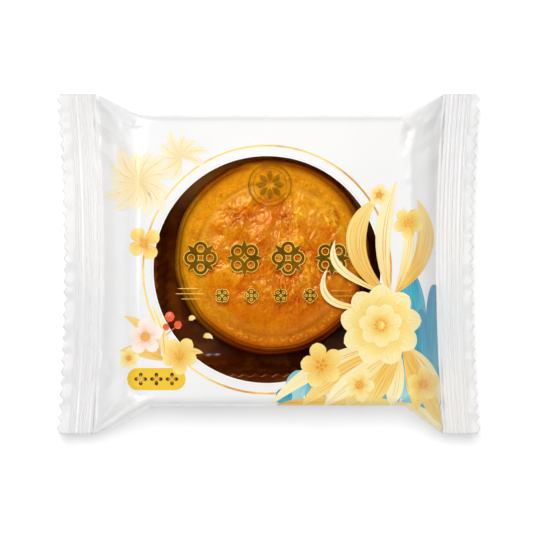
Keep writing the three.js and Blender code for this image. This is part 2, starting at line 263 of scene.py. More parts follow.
# from x, from y, to x, to y, half width, height at the start, height at the end
CREASES = [
    # back left corner
    (-46.2, 44.5, -42.5, 41.0, 0.9, 0.3, 0.7),
    (-42.5, 41.0, -38.4, 32.0, 1.1, 0.7, 0.25),
    (-45.4, 44.8, -36.2, 38.9, 0.8, -0.3, -0.5),
    (-36.6, 37.9, -35.4, 36.9, 0.45, 0.3, 0.3),
    (-44.4, 37.0, -42.8, 22.0, 1.2, -0.25, -0.1),
    (-41.0, 34.0, -40.2, 12.0, 1.0, -0.18, -0.05),
    # back right corner
    (36.4, 38.6, 41.0, 38.9, 1.2, 0.5, 0.6),
    (41.2, 38.0, 38.2, 31.0, 1.5, 0.26, 0.2),
    (38.2, 31.0, 38.5, 22.0, 1.3, 0.36, 0.3),
    (38.5, 22.0, 38.4, -4.0, 1.2, 0.3, 0.12),
    (37.6, 36.8, 36.9, 31.6, 0.9, -0.4, -0.15),
    (48.2, 45.2, 42.6, 37.8, 0.7, 0.5, 0.35),
    (48.0, 44.2, 46.2, 33.8, 0.5, 0.5, 0.2),
    (46.4, 42.0, 44.4, 35.6, 0.7, -0.45, -0.3),
    (36.4, 36.0, 40.0, 33.0, 0.8, -0.3, -0.1),
    (45.2, 34.0, 44.8, 12.0, 0.7, -0.4, -0.15),
    (43.4, 33.0, 43.0, 14.0, 1.0, 0.25, 0.1),
    # front left corner
    (-47.0, -44.4, -41.6, -38.0, 0.8, 0.45, 0.4),
    (-41.6, -38.0, -38.2, -34.0, 0.9, 0.4, 0.15),
    (-46.2, -44.6, -36.6, -37.4, 0.9, -0.4, -0.35),
    (-34.6, -36.7, -31.0, -36.4, 0.6, 0.2, 0.2),
    (-37.6, -33.6, -33.8, -36.4, 0.7, -0.15, -0.15),
    (-45.4, -24.0, -45.2, -33.0, 0.7, 0.2, 0.3),
    (-45.2, -33.0, -47.0, -43.8, 0.6, 0.3, 0.4),
    (-43.6, -26.0, -42.6, -30.0, 1.3, -0.3, -0.2),
    # front right corner
    (47.4, -44.6, 42.0, -38.8, 0.8, 0.4, 0.35),
    (42.0, -38.8, 39.0, -33.0, 0.9, 0.35, 0.15),
    (46.6, -44.4, 38.0, -37.2, 0.8, -0.35, -0.3),
    (44.6, -34.0, 46.6, -43.0, 0.7, 0.25, 0.35),
    (35.0, -37.2, 38.6, -35.0, 0.7, 0.35, 0.2),
]
print(len(CREASES), "creases set one by one")

# %% Small puckers between the creases, which point roughly at the fin's corner
for corner_x, corner_y, heading in (
    (-36.8, 36.4, 2.4), (39.8, 36.0, 0.8), (-37.0, -36.0, -2.4),
):
    for _ in range(9):
        turn = heading + rng.normal(0.0, 0.45)
        x0 = corner_x + rng.uniform(-2.8, 2.8)
        y0 = corner_y + rng.uniform(-2.8, 2.2)
        length = rng.uniform(2.8, 5.6)
        x1, y1 = x0 + length * math.cos(turn), y0 + length * math.sin(turn)
        rise = rng.choice((-1, 1)) * rng.uniform(0.06, 0.16)
        CREASES.append((x0, y0, x1, y1, rng.uniform(0.35, 0.6), rise, 0.6 * rise))
print(len(CREASES), "creases with the small puckers")


# %% Height of all creases together
def crease_relief(x, y):
    lift = np.zeros_like(x)
    for x0, y0, x1, y1, half, start, end in CREASES:
        along_x, along_y = x1 - x0, y1 - y0
        length = math.hypot(along_x, along_y)
        along = ((x - x0) * along_x + (y - y0) * along_y) / length**2
        off = ((x - x0) * along_y - (y - y0) * along_x) / length
        fade = eased(ramp(along, -0.12, 0.12)) * (1.0 - eased(ramp(along, 0.88, 1.12)))
        height = mix(start, end, np.clip(along, 0.0, 1.0))
        lift += CREASE_DEPTH * height * fade * np.exp(-np.abs(off / half) ** 1.5)
    return lift


print("a crease at its middle:", crease_relief(np.array([38.3]), np.array([26.0])).round(2), "mm")

# %% [markdown]
# Where nothing pulls it tight, film lies in broad, soft swells. They hardly show as shapes, but
# they bend the reflections, and a sheet without them looks like painted card. A few crossing
# waves are enough.

# %% Soft swells of the slack film
SWELL_HEIGHT = 0.055
SWELLS = [
    (rng.uniform(0.05, 0.16), rng.uniform(0.03, 0.12), rng.uniform(0, 2 * np.pi))
    for _ in range(9)
]


def swell_relief(x, y):
    """Broad, low unevenness, stronger on the slopes than on the taut top."""
    lift = np.zeros_like(x)
    for i, (along, across, phase) in enumerate(SWELLS):
        way = 1.0 if i % 2 else -1.0
        lift += np.sin(x * along * 2.2 + way * y * across * 2.2 + phase)
    slack = 0.25 + 0.75 * eased(end_share(x, -30.0, 34.0))
    return SWELL_HEIGHT * lift * slack


print(len(SWELLS), "crossing waves")


# %% The finished height, from all the parts above
def film_relief(x, y):
    """All that stands on the smooth upper film at the finished place x, y."""
    back = y >= 0.0
    inside = half_width(x, back) - np.abs(y)
    body = 1.0 - eased(ramp(np.maximum(FIN_LEFT - x, x - FIN_RIGHT), -1.0, 0.6))
    off_edge = eased(ramp(inside, 0.1, 2.0))
    return (crease_relief(x, y) + swell_relief(x, y)) * body * off_edge


def film_height(x, y):
    """Height of the finished upper film over the place x, y."""
    start = unbow(x, y)
    fin = rib_relief(start, y) + dent_relief(start, y)
    return top_height(start, y) + bow(start, y)[1] + fin + film_relief(x, y)


print("film over the cake stands at", film_height(np.array([CAKE_X]), np.array([CAKE_Y])))

# %% [markdown]
# ## Cutting the sheet into cells
# The upper film starts as a flat grid. Its columns crowd together where the ribs are, and its
# rows are spaced evenly along the film, so that the turned-down side gets its share of them.
# Six rows go to each tooth, which puts every tip and every notch of the cut on a row.

# %% Columns and rows of the sheet
ROWS_PER_TOOTH = 6
ROWS = ROWS_PER_TOOTH * TOOTH_COUNT
RIBS_END_LEFT = FIN_LEFT - RIB_BAND
RIBS_END_RIGHT = FIN_RIGHT + RIB_BAND
LOOSE_COLUMNS = 7


def film_columns(rib_steps, slope_steps, body_steps):
    """Places along x for the columns, from the left cut edge to the right one."""
    parts = [
        np.linspace(-FIN_TIP, RIBS_END_LEFT, LOOSE_COLUMNS)[:-1],
        np.linspace(RIBS_END_LEFT, FIN_LEFT, rib_steps + 1)[:-1],
        [FIN_LEFT],
        np.linspace(FIN_LEFT + 0.05, RIDGE_LEFT + 4.0, slope_steps)[:-1],
        np.linspace(RIDGE_LEFT + 4.0, RIDGE_RIGHT - 4.0, body_steps + 1)[:-1],
        np.linspace(RIDGE_RIGHT - 4.0, FIN_RIGHT - 0.05, slope_steps),
        np.linspace(FIN_RIGHT, RIBS_END_RIGHT, rib_steps + 1)[:-1],
        np.linspace(RIBS_END_RIGHT, FIN_TIP, LOOSE_COLUMNS),
    ]
    return np.concatenate(parts)


def rows_across(x, height, rows):
    """y of each row at one column, evenly spaced along the film's own surface."""
    turn = np.linspace(-np.pi / 2, np.pi / 2, 601)
    reach = np.sign(turn) * np.abs(np.sin(turn)) ** 0.7
    front = half_width(x, np.array(False))
    back = half_width(x, np.array(True))
    y = np.where(reach < 0, reach * front, reach * back)
    z = height(np.full_like(y, x), y)
    steps = np.hypot(np.diff(y), np.diff(z))
    travelled = np.concatenate(([0.0], np.cumsum(steps)))
    return np.interp(np.linspace(0, travelled[-1], rows + 1), travelled, y)


def cut_teeth(x, row):
    """Draws the loose edge in between the teeth of the zigzag cut."""
    rows_per_tooth = ROWS_PER_TOOTH * (len(row) - 1) // ROWS
    phase = (row % rows_per_tooth) / rows_per_tooth
    notch = TOOTH_DEPTH * np.abs(2.0 * phase - 1.0)
    left = ramp(x, RIBS_END_LEFT, -FIN_TIP)
    right = ramp(x, RIBS_END_RIGHT, FIN_TIP)
    return x + notch * (left - right)


def film_grid(columns, rows, height):
    """x and y, before the bow, of every grid point as tables of columns by rows."""
    y = np.stack([rows_across(x, height, rows) for x in columns])
    x = np.repeat(columns[:, None], rows + 1, axis=1)
    return cut_teeth(x, np.arange(rows + 1)), y


columns = film_columns(rib_steps=56, slope_steps=34, body_steps=106)
grid_x, grid_y = film_grid(columns, ROWS, top_height)
print("upper film:", len(columns), "columns by", ROWS + 1, "rows")

# %% [markdown]
# The faces could be written one by one, but the grid operator makes them in order and gives
# them a UV map as well. After it only the points are moved, all at once.


# %% The grid as a mesh
def store(bm, mesh):
    """Writes the worked shape into the mesh and lets go of the working copy."""
    bm.to_mesh(mesh)
    bm.free()
    return mesh


def add_grid(bm, columns_count, rows_count):
    """The new points of a flat grid, one unit wide, that carries a UV map."""
    return bmesh.ops.create_grid(
        bm, x_segments=columns_count, y_segments=rows_count, size=0.5, calc_uvs=True
    )["verts"]


def raw_points(mesh):
    flat = np.empty(len(mesh.vertices) * 3)
    mesh.vertices.foreach_get("co", flat)
    return flat.reshape(-1, 3)


def points_of(mesh):
    return raw_points(mesh).T / MM


def set_points(mesh, x, y, z):
    points = np.stack([x, y, z], axis=1) * MM
    mesh.vertices.foreach_set("co", points.ravel())
    mesh.update()


def grid_mesh(name, columns_count, rows_count):
    """A flat grid from the operator, with its column and row numbers."""
    bm = bmesh.new()
    bm.loops.layers.uv.new("UVMap")
    add_grid(bm, columns_count, rows_count)
    mesh = store(bm, bpy.data.meshes.new(name))
    flat = raw_points(mesh)
    column = np.rint((flat[:, 0] + 0.5) * columns_count).astype(int)
    row = np.rint((flat[:, 1] + 0.5) * rows_count).astype(int)
    return mesh, column, row


def place_object(name, mesh, smooth=True):
    thing = bpy.data.objects.new(name, mesh)
    bpy.context.scene.collection.objects.link(thing)
    for face in mesh.polygons:
        face.use_smooth = smooth
    return thing


film_mesh, column, row = grid_mesh("film_front", len(columns) - 1, ROWS)
flat_x, flat_y = grid_x[column, row], grid_y[column, row]
film_x = bow(flat_x, flat_y)[0]
print("film mesh:", len(film_mesh.vertices), "points")

# %% [markdown]
# ## The round window
# The window is the same film without ink, so it is cut out of the same sheet: the faces inside
# the circle become a piece of their own. The points along the cut are first drawn onto the
# circle, because a staircase of cells would show as a rough edge.

# %% Draw the cut onto the circle
window_distance = np.hypot(film_x - WINDOW_X, flat_y - WINDOW_Y)
corners = np.array([list(p.vertices) for p in film_mesh.polygons])
in_window = window_distance[corners].mean(axis=1) < WINDOW_RADIUS
touches_in = np.zeros(len(film_x), bool)
touches_out = np.zeros(len(film_x), bool)
touches_in[corners[in_window]] = True
touches_out[corners[~in_window]] = True
on_cut = touches_in & touches_out
stretch = np.where(on_cut, WINDOW_RADIUS / np.maximum(window_distance, 1.0), 1.0)
film_x = WINDOW_X + (film_x - WINDOW_X) * stretch
flat_y = WINDOW_Y + (flat_y - WINDOW_Y) * stretch
print("window cut:", int(on_cut.sum()), "points on the circle")

# %% Raise the sheet and part the window from it
fin_relief = rib_relief(flat_x, flat_y) + dent_relief(flat_x, flat_y)
smooth_height = top_height(flat_x, flat_y) + bow(flat_x, flat_y)[1]
film_z = smooth_height + fin_relief + film_relief(film_x, flat_y)
set_points(film_mesh, film_x, flat_y, film_z)


def keep_faces(mesh, wanted):
    """Deletes the faces that aren't wanted, and the points that then hang loose."""
    bm = bmesh.new()
    bm.from_mesh(mesh)
    bm.faces.ensure_lookup_table()
    unwanted = [f for f, keep in zip(bm.faces, wanted) if not keep]
    bmesh.ops.delete(bm, geom=unwanted, context="FACES")
    store(bm, mesh)


window_mesh = film_mesh.copy()
window_mesh.name = "window_film"
keep_faces(window_mesh, in_window)
keep_faces(film_mesh, ~in_window)
film_front = place_object("film_front", film_mesh)
window_film = place_object("window_film", window_mesh)
print("faces: printed", len(film_mesh.polygons), "clear", len(window_mesh.polygons))

# %% [markdown]
# ## The lower film
# Underneath, the film runs from the same side edges down to a flat base and carries the back
# seal, a strip folded flat along the middle. The sheet is coarser, since little happens here.

# %% Height of the lower film
BASE_LEFT, BASE_RIGHT = -30.0, 33.0
BASE_HALF_WIDTH = 31.5
BACK_SEAL_HALF = 5.0
BACK_SEAL_STEP = 0.35


def base_height(x, y):
    back = y >= 0.0
    share = end_share(x, BASE_LEFT, BASE_RIGHT)
    flat = mix(BACK_SEAL_STEP, FIN_HEIGHT - FIN_SKIN, share**1.15)
    foot = mix(BASE_HALF_WIDTH, FIN_HALF_WIDTH - 0.01, share)
    shoulder = mix(SHOULDER_HEIGHT, FIN_HEIGHT - FIN_SKIN, side_share(x, back))
    out = np.clip((np.abs(y) - foot) / np.maximum(half_width(x, back) - foot, 0.01), 0.0, 1.0)
    rise = 1.0 - (1.0 - eased(out * 0.5) * 2.0) ** 0.85
    return mix(flat, np.maximum(shoulder, flat), rise)


print("the base ends at x =", BASE_LEFT, "and", BASE_RIGHT, "mm")


# %% Back seal and slack of the lower film
def base_relief(x, y):
    """The proud strip of the back seal with its own fine ribs, and slack puckers."""
    body = 1.0 - eased(ramp(np.maximum(FIN_LEFT - x, x - FIN_RIGHT), -4.0, 0.0))
    strip = 1.0 - eased(ramp(np.abs(y), BACK_SEAL_HALF - 0.4, BACK_SEAL_HALF + 0.3))
    ribs = 0.09 * np.sin(y * 2 * np.pi / 1.6)
    step = strip * (ribs - BACK_SEAL_STEP + 0.09) * body
    pucker = 0.12 * np.sin(x * 0.55 + 0.3 * np.sin(y * 0.4)) * np.sin(y * 0.21 + 1.0)
    slack = eased(end_share(x, BASE_LEFT + 8.0, BASE_RIGHT - 8.0)) * body
    off_edge = eased(ramp(half_width(x, y >= 0.0) - np.abs(y), 0.1, 4.0))
    wall = eased(ramp(np.abs(y), BASE_HALF_WIDTH - 0.5, BASE_HALF_WIDTH + 3.0)) * body
    gather = 0.3 * np.sin(x * 0.42 + 1.7 * np.sin(x * 0.13 + np.sign(y)) + 0.08 * y)
    gather += 0.2 * np.sin(x * 1.05 - 0.1 * y + 2.0 * np.sign(y))
    return step + (pucker * slack + gather * wall) * off_edge


print("the back seal is", 2 * BACK_SEAL_HALF, "mm wide")

# %% The lower sheet
base_rows = ROWS // 2
base_columns = film_columns(rib_steps=40, slope_steps=16, body_steps=56)
back_x, back_y = film_grid(base_columns, base_rows, base_height)
back_mesh, column, row = grid_mesh("film_back", len(base_columns) - 1, base_rows)
low_x, low_y = back_x[column, row], back_y[column, row]
low_fin = rib_relief(low_x, low_y) + dent_relief(low_x, low_y)
low_z = base_height(low_x, low_y) + bow(low_x, low_y)[1] + low_fin
bowed_x = bow(low_x, low_y)[0]
low_z = np.maximum(low_z + base_relief(bowed_x, low_y), 0.0)
set_points(back_mesh, bowed_x, low_y, low_z)
back_mesh.flip_normals()
film_back = place_object("film_back", back_mesh)
print("lower film:", len(back_mesh.polygons), "faces, lowest point", low_z.min())

# %% [markdown]
# The printed film is a sheet of real thickness, so Solidify gives it one, inwards from the
# face that was shaped above. The clear film stays a single skin, which light crosses once.


# %% Give the printed film its thickness
def thicken(thing, thickness):
    wall = thing.modifiers.new("film thickness", "SOLIDIFY")
    wall.thickness = thickness * MM
    wall.offset = -1.0
    return wall


for sheet in (film_front, film_back):
    thicken(sheet, FIN_SKIN)
print("film is", FIN_SKIN, "mm thick")

# %% [markdown]
# ## The tray
# The tray is one sheet of brown plastic drawn into a square cup: a flat flange, a small bead
# round the rim, a fluted wall and a floor. A grid wrapped round on itself makes it in one go,
# since each of its rows is a ring that only has to know its size, height and depth of flute.

# %% Rounded squares
TRAY_X, TRAY_Y = 1.0, 1.3
TRAY_SHEET = 0.4
CUP_RIM_HALF = 31.0
CUP_CORNER = 13.0
FLUTE_COUNT = 76
FLUTE_DEPTH = 0.34


def rounded_square(half_x, half_y, corner, turn):
    """Evenly spaced points on a rectangle with round corners; turn runs from 0 to 1."""
    side_x, side_y = 2 * (half_x - corner), 2 * (half_y - corner)
    arc = corner * math.pi / 2
    stops = np.cumsum([0, side_y, arc, side_x, arc, side_y, arc, side_x, arc])
    travel = np.mod(turn, 1.0) * stops[-1]
    part = np.searchsorted(stops, travel, side="right") - 1
    along = travel - stops[part]
    quarter = part // 2
    heading = quarter * math.pi / 2
    reach = np.where(quarter % 2 == 0, half_x, half_y)
    shift = np.where(quarter % 2 == 0, side_y, side_x) / 2
    bend = np.where(part % 2 == 1, along / corner, 0.0)
    straight = np.where(part % 2 == 1, shift, along - shift)
    out = reach - corner + corner * np.cos(bend)
    sideways = straight + corner * np.sin(bend)
    x = out * np.cos(heading) - sideways * np.sin(heading)
    y = out * np.sin(heading) + sideways * np.cos(heading)
    return x, y


print("tray:", FLUTE_COUNT, "flutes of", FLUTE_DEPTH, "mm")

# %% Rings of the tray, from the flange's edge in to the middle of the floor
# half length, half width, corner, height, how much of the flutes' depth
FLANGE_RINGS = [
    (35.8, 37.2, 9.0, 18.0, 0.0),
    (35.8, 37.2, 9.0, 18.7, 0.0),
    (35.6, 37.0, 8.9, 18.9, 0.0),
    (34.2, 35.0, 10.5, 18.9, 0.0),
]
# half width, height, how much of the flutes' depth
CUP_RINGS = [
    (32.6, 18.9, 0.3), (32.15, 18.95, 0.8), (31.9, 19.2, 1.0), (31.55, 19.38, 1.0),
    (31.2, 19.3, 1.0), (31.0, 18.95, 1.0), (30.8, 17.6, 1.0), (30.2, 13.8, 0.9),
    (29.4, 9.0, 0.8), (28.7, 4.9, 0.6), (28.0, 3.4, 0.3), (26.8, 2.6, 0.1),
    (25.0, 2.35, 0.0), (18.5, 2.3, 0.0),
]
tray_rings = FLANGE_RINGS + [
    (half, half, CUP_CORNER - (CUP_RIM_HALF - half), height, flute)
    for half, height, flute in CUP_RINGS
]
print("tray:", len(tray_rings), "rings")

# %% Wrap the grid round, one ring to each row
STEPS_PER_FLUTE = 8
tray_steps = STEPS_PER_FLUTE * FLUTE_COUNT
tray_mesh, column, row = grid_mesh("tray", tray_steps, len(tray_rings) - 1)
turn = column / tray_steps
wave = np.cos(2 * np.pi * FLUTE_COUNT * turn)
tray_x, tray_y, tray_z = (np.zeros(len(turn)) for _ in range(3))
for number, (half_x, half_y, corner, height, flute) in enumerate(tray_rings):
    here = row == number
    depth = FLUTE_DEPTH * flute * wave[here]
    round_x, round_y = rounded_square(half_x, half_y, corner, turn[here])
    size = np.hypot(round_x, round_y)
    tray_x[here] = TRAY_X + round_x * (1 + depth / size)
    tray_y[here] = TRAY_Y + round_y * (1 + depth / size)
    tray_z[here] = height
set_points(tray_mesh, tray_x, tray_y, tray_z)
print("tray: from", tray_z.min(), "to", tray_z.max(), "mm high")

# %% [markdown]
# The wrapped grid still has a seam and an open floor. Welding points that lie on each other
# closes the seam, and one face, inset and poked, closes the floor without a fan of long thin
# triangles. Thickness comes last, once all the faces look up.


# %% Close the tray's ring and its floor
FLOOR_REACH = 27.0  # every open edge nearer to the middle than this belongs to the floor
FLOOR_INSET = 4.0


def close_tray(mesh):
    """Welds the first column to the last, fills the open floor and turns the faces up."""
    bm = bmesh.new()
    bm.from_mesh(mesh)
    bmesh.ops.remove_doubles(bm, verts=bm.verts, dist=0.00002)
    rim = [
        e for e in bm.edges
        if e.is_boundary and math.hypot(*e.verts[0].co.xy) < FLOOR_REACH * MM
    ]
    made = bmesh.ops.contextual_create(bm, geom=rim)["faces"]
    inner = bmesh.ops.inset_region(bm, faces=made, thickness=FLOOR_INSET * MM)
    bmesh.ops.poke(bm, faces=made)
    print("floor closed with", len(made) + len(inner["faces"]), "faces")
    bmesh.ops.recalc_face_normals(bm, faces=bm.faces)
    if sum(f.normal.z * f.calc_area() for f in bm.faces) < 0:
        bmesh.ops.reverse_faces(bm, faces=bm.faces)
    store(bm, mesh)


close_tray(tray_mesh)
tray = place_object("cake_tray", tray_mesh)
thicken(tray, TRAY_SHEET)
print("tray:", len(tray_mesh.polygons), "faces")

# %% [markdown]
# ## The mooncake
# A pressed mooncake is a turned shape: a straight side, a fold where the top was pressed down,
# a rolled rim and a middle that puffs up in the oven. Its outline is spun round the upright
# axis. The baked skin's wrinkles are then pushed into it with noise, and how far each point
# was pushed is kept on the mesh, because the colour follows the relief.

# %% Half of the cake's outline
CAKE_FOOT = 2.6
CAKE_RADIUS = 26.55
CAKE_TOP = 17.2
RIM_RADIUS = 23.1
GROOVE_RADIUS = 21.9
PUFF_RADIUS = 17.6


def bent(start, knee, end, steps):
    """A curve from start to end that leans towards the knee."""
    t = np.linspace(0, 1, steps, endpoint=False)[:, None]
    start, knee, end = (np.array(p, float) for p in (start, knee, end))
    return (1 - t) ** 2 * start + 2 * t * (1 - t) * knee + t**2 * end


cake_outline = np.concatenate(
    [
        bent((0.2, 0), (11, 0), (21.6, 0), 6),
        bent((21.6, 0), (CAKE_RADIUS, 0), (CAKE_RADIUS, 5.5), 9),
        bent((CAKE_RADIUS, 5.5), (CAKE_RADIUS, 12.6), (25.3, 14.2), 22),
        bent((25.3, 14.2), (25.1, CAKE_TOP), (RIM_RADIUS, CAKE_TOP), 20),
        bent((RIM_RADIUS, CAKE_TOP), (GROOVE_RADIUS, 16.75), (PUFF_RADIUS, 17.0), 18),
        bent((PUFF_RADIUS, 17.0), (9, 17.7), (0.15, 17.75), 60),
        [(0.15, 17.75)],
    ]
)
print("cake outline:", len(cake_outline), "points")

# %% Spin the outline
CAKE_STEPS = 340
bm = bmesh.new()
points = [bm.verts.new((r * MM, 0, z * MM)) for r, z in cake_outline]
edges = [bm.edges.new(pair) for pair in zip(points, points[1:])]
bmesh.ops.spin(
    bm, geom=points + edges, cent=(0, 0, 0), axis=(0, 0, 1), angle=math.tau,
    steps=CAKE_STEPS, use_merge=True,
)
bmesh.ops.remove_doubles(bm, verts=bm.verts, dist=1e-7)
for at_top in (False, True):
    pole = [e for e in bm.edges if e.is_boundary and (e.verts[0].co.z > 0.01) == at_top]
    bmesh.ops.contextual_create(bm, geom=pole)
bmesh.ops.recalc_face_normals(bm, faces=bm.faces)
cake_mesh = store(bm, bpy.data.meshes.new("mooncake_crust"))
print("cake:", len(cake_mesh.polygons), "faces")

# %% [markdown]
# The baked skin is smooth only from afar: the oven lifts its middle, splits it into thin
# scales and crumples it. A displacement texture could do this when the picture is made, but
# then the form would not be in the mesh, so noise moves the points themselves.

# %% Cloudy unevenness
from mathutils import Vector, noise


def rough(x, y, z, size, octaves, seed):
    """Cloudy unevenness, about -1 to 1, whose lumps are the given size in mm."""
    return np.array([
        noise.fractal(Vector((a / size + seed, b / size, c / size)), 0.9, 2.0, octaves)
        for a, b, c in zip(x, y, z)
    ])


x, y, z = points_of(cake_mesh)
radius = np.hypot(x, y)
angle = np.arctan2(y, x)
top = eased(ramp(z, 13.0, 16.5))
puff = 1.0 - eased(ramp(radius + 2.2 * np.sin(angle * 3 + 0.6), 15.0, 19.0))
bend = rough(x, y, z, 6.0, 2, 3.0)
print("cloudy unevenness runs from", bend.min().round(2), "to", bend.max().round(2))

# %% Where the skin has split
# middle x, middle y, reach along x, reach along y, strength
FLAKED = (
    (-12.0, 12.5, 6.0, 4.5, 1.0),
    (16.6, 10.4, 3.2, 4.6, 1.25),
    (5.0, 11.5, 3.0, 5.0, 0.8),
    (2.8, -0.7, 13.0, 5.5, 0.9),
    (1.0, -10.5, 10.0, 3.5, 0.55),
)
patchy = sum(
    strength * np.exp(-(((x - mid_x) / reach_x) ** 2) - ((y - mid_y) / reach_y) ** 2)
    for mid_x, mid_y, reach_x, reach_y, strength in FLAKED
)
reach_out = 18.4 + 2.2 * ramp(x, 4.0, 13.0)
baked_top = 1.0 - eased(ramp(radius, reach_out, reach_out + 2.0))
patchy = 0.12 * puff + 0.88 * np.clip(patchy, 0.0, 1.0) * baked_top
print("split skin covers", (100 * (patchy > 0.5).mean()).round(1), "% of the points")


# %% Ridges and torn scales
def leaning(lean):
    """How far each point lies along a slanting line, and how far across it."""
    return (x * math.cos(lean) + y * math.sin(lean),
            y * math.cos(lean) - x * math.sin(lean))


def ridges(lean, size, seed):
    """Sharp low ridges that run roughly one way, with gaps between them."""
    along, across = leaning(lean)
    line = rough(along * 0.35 + bend, across + bend * 1.6, z * 0.1, size, 3, seed)
    return np.clip(1.0 - 4.0 * np.abs(line), 0.0, 1.0) ** 1.3


def torn(lean, size, seed):
    """Low flat scales, as where a thin skin has split and lifted in layers, and their edges:
    1 along the raised lip of a scale and -1 along its foot."""
    along, across = leaning(lean)
    level = 3.6 * rough(along * 0.5 + bend, across + bend * 1.4, z * 0.1, size, 3, seed)
    whole = np.floor(level)
    part = level - whole
    lip = np.exp(-(((part - 0.62) / 0.11) ** 2)) - np.exp(-(((part - 0.2) / 0.13) ** 2))
    return np.stack([(whole + eased(ramp(part, 0.25, 0.55))) / 3.6, lip])


print("a scale's lip reaches", torn(0.55, 3.2, 71.0)[1].max().round(2))

# %% Mix them over the cake
toward_left = eased(ramp(x, 4.0, -6.0))
flakes = mix(ridges(1.25, 2.2, 57.0), ridges(0.62, 2.0, 11.0), toward_left) * patchy
scales, lips = mix(torn(1.15, 3.3, 29.0), torn(0.55, 3.2, 71.0), toward_left)
scales *= 0.22 * puff + 0.78 * patchy
lips *= 0.2 * puff + 0.8 * patchy
crumple = rough(x + bend, y - bend, z * 0.1, 2.8, 3, 13.0) * (0.15 * puff + 0.85 * patchy)
broad = rough(x, y, z * 0.1, 8.5, 2, 5.0)
grain = rough(x, y, z, 0.9, 2, 21.0)
print("scales run from", scales.min().round(2), "to", scales.max().round(2))

# %% [markdown]
# Round the top runs a rolled rim with a broken groove inside it, and at the front the side is
# folded under it in two soft lines. Both wander, because dough is pressed by hand. Each is a
# narrow bell curve along a wandering line, added to the relief.

# %% Rim, groove and folds
rim_line = 22.1 + 0.5 * np.sin(angle + 2.4) + 0.25 * np.sin(angle * 3)
rim_band = np.exp(-(((radius - rim_line) / 0.8) ** 2)) * top
dip = rim_line - 1.5 + 0.2 * np.sin(angle * 4 + 1)
broken = 0.25 + 0.75 * eased(ramp(rough(x, y, z * 0.1, 9.0, 1, 8.0), -0.3, 0.3))
groove = np.exp(-(((radius - dip) / 0.4) ** 2)) * top * broken
lift = 0.24 * flakes + 0.22 * crumple + 0.60 * scales
lift += 0.42 * broad * puff + 0.20 * broad * top
lift += rim_band * (0.10 + 0.12 * grain + 0.16 * rough(x, y, z, 2.4, 2, 31.0)) - 0.14 * groove
lift += 0.035 * grain * top
wander = 0.5 * np.sin(angle * 2 + 0.7) + 0.3 * np.sin(angle * 5)
in_front = eased(ramp(y, 4.0, -13.0))
fold = 0.26 * np.exp(-(((z - 16.7 - 0.15 * wander) / 0.16) ** 2)) * in_front
fold += 0.34 * np.exp(-(((z - 13.9 - 0.5 * wander) / 0.32) ** 2)) * in_front
side = eased(ramp(radius, 20.0, 25.0))
print("the deepest fold goes in", fold.max().round(2), "mm")

# %% Push the points
swell = 0.42 * rough(x * 0.6, y * 0.6, z * 0.3, 8.0, 2, 41.0) * side * ramp(z, 0.0, 4.0)
outward = 1.0 + (swell - fold * side) / np.maximum(radius, 1.0)
set_points(
    cake_mesh,
    CAKE_X + x * outward,
    CAKE_Y + y * outward,
    CAKE_FOOT + z + lift,
)
print("the crust was lifted by up to", lift.max().round(2), "mm")

# %% [markdown]
# The finish paints light and shade on the relief: raised flakes get a painted highlight, hollows
# and folds get painted shade. So the amounts are kept on the points as named attributes, which
# the finish reads later on.

# %% Keep the relief for the colours
relief = (
    ("puffed", 0.8 * flakes + 0.6 * crumple + 1.1 * scales),
    ("flaked", patchy),
    ("lips", lips),
    ("folded", fold * side + 0.18 * groove),
    ("rimmed", np.exp(-(((radius - rim_line) / 0.9) ** 2)) * top),
)
for name, values in relief:
    layer = cake_mesh.attributes.new(name, "FLOAT", "POINT")
    layer.data.foreach_set("value", np.asarray(values, dtype=np.float32))
mooncake = place_object("mooncake_crust", cake_mesh)
print("cake stands", (points_of(cake_mesh)[2].max()).round(2), "mm high at its top")

# %% [markdown]
# ## The print
# The print is colour laid on the film, and it has to bend with every fold. So each printed
# shape is a thin sheet of its own: a strip along a curve, with a width that swells and tapers,
# laid on the film's height a few hundredths of a millimetre proud. A leaf, a petal, a ring, a
# pill and a hill are all such strips. The strips of one ink are gathered into one piece.

# %% A strip along a curve
PRINT_CELL = 0.45
FINE_CELL = 0.4
LINE_CELL = 0.8
inks = {}


def curve(points, t):
    """A smooth curve that starts and ends at the outer points and leans to those between."""
    points = np.array(points, float)
    order = len(points) - 1
    return sum(
        math.comb(order, i) * (t**i * (1 - t) ** (order - i))[:, None] * point
        for i, point in enumerate(points)
    )


def strip(ink_name, path, width, layer, cell=PRINT_CELL):
    """Lays a strip: path(t) gives its middle, width(t) its half width, both along t 0 to 1."""
    fine = path(np.linspace(0, 1, 60))
    length = np.hypot(*np.diff(fine, axis=0).T).sum()
    steps = max(6, int(length / cell))
    rows = max(2, 2 * int(np.ceil(width(np.linspace(0, 1, 30)).max() / cell)))
    inks.setdefault(ink_name, []).append((path, width, layer, steps, rows))


print("middle of a curve:", curve([(0, 0), (1, 2), (2, 0)], np.array([0.5]))[0])


# %% Widths along a strip
def tapered(half, full_at=0.4, end=0.9, start=0.7):
    """Half width of a leaf: thin at both ends and full at one place along it."""
    def width(t):
        rise = np.clip(t / full_at, 0, 1)
        fall = np.clip((1 - t) / (1 - full_at), 0, 1)
        shape = np.where(t < full_at, np.sin(rise * np.pi / 2) ** start,
                         np.sin(fall * np.pi / 2) ** end)
        return np.maximum(half * shape, 0.01)
    return width


def rounded(half, length):
    """Half width of a bar with round ends."""
    def width(t):
        from_end = np.minimum(t, 1 - t) * length
        inside = np.clip(1 - from_end / half, 0, 1)
        return np.maximum(half * np.sqrt(1 - inside**2), 0.01)
    return width


def even(half):
    return lambda t: np.full_like(t, half)


print("a leaf's half widths:", tapered(1.0)(np.linspace(0, 1, 5)).round(2))


# %% Paths, and the shapes that are used again and again
def around(x, y, reach, angle):
    """The place that lies this far from x, y in the direction of the angle."""
    return x + reach * math.cos(angle), y + reach * math.sin(angle)


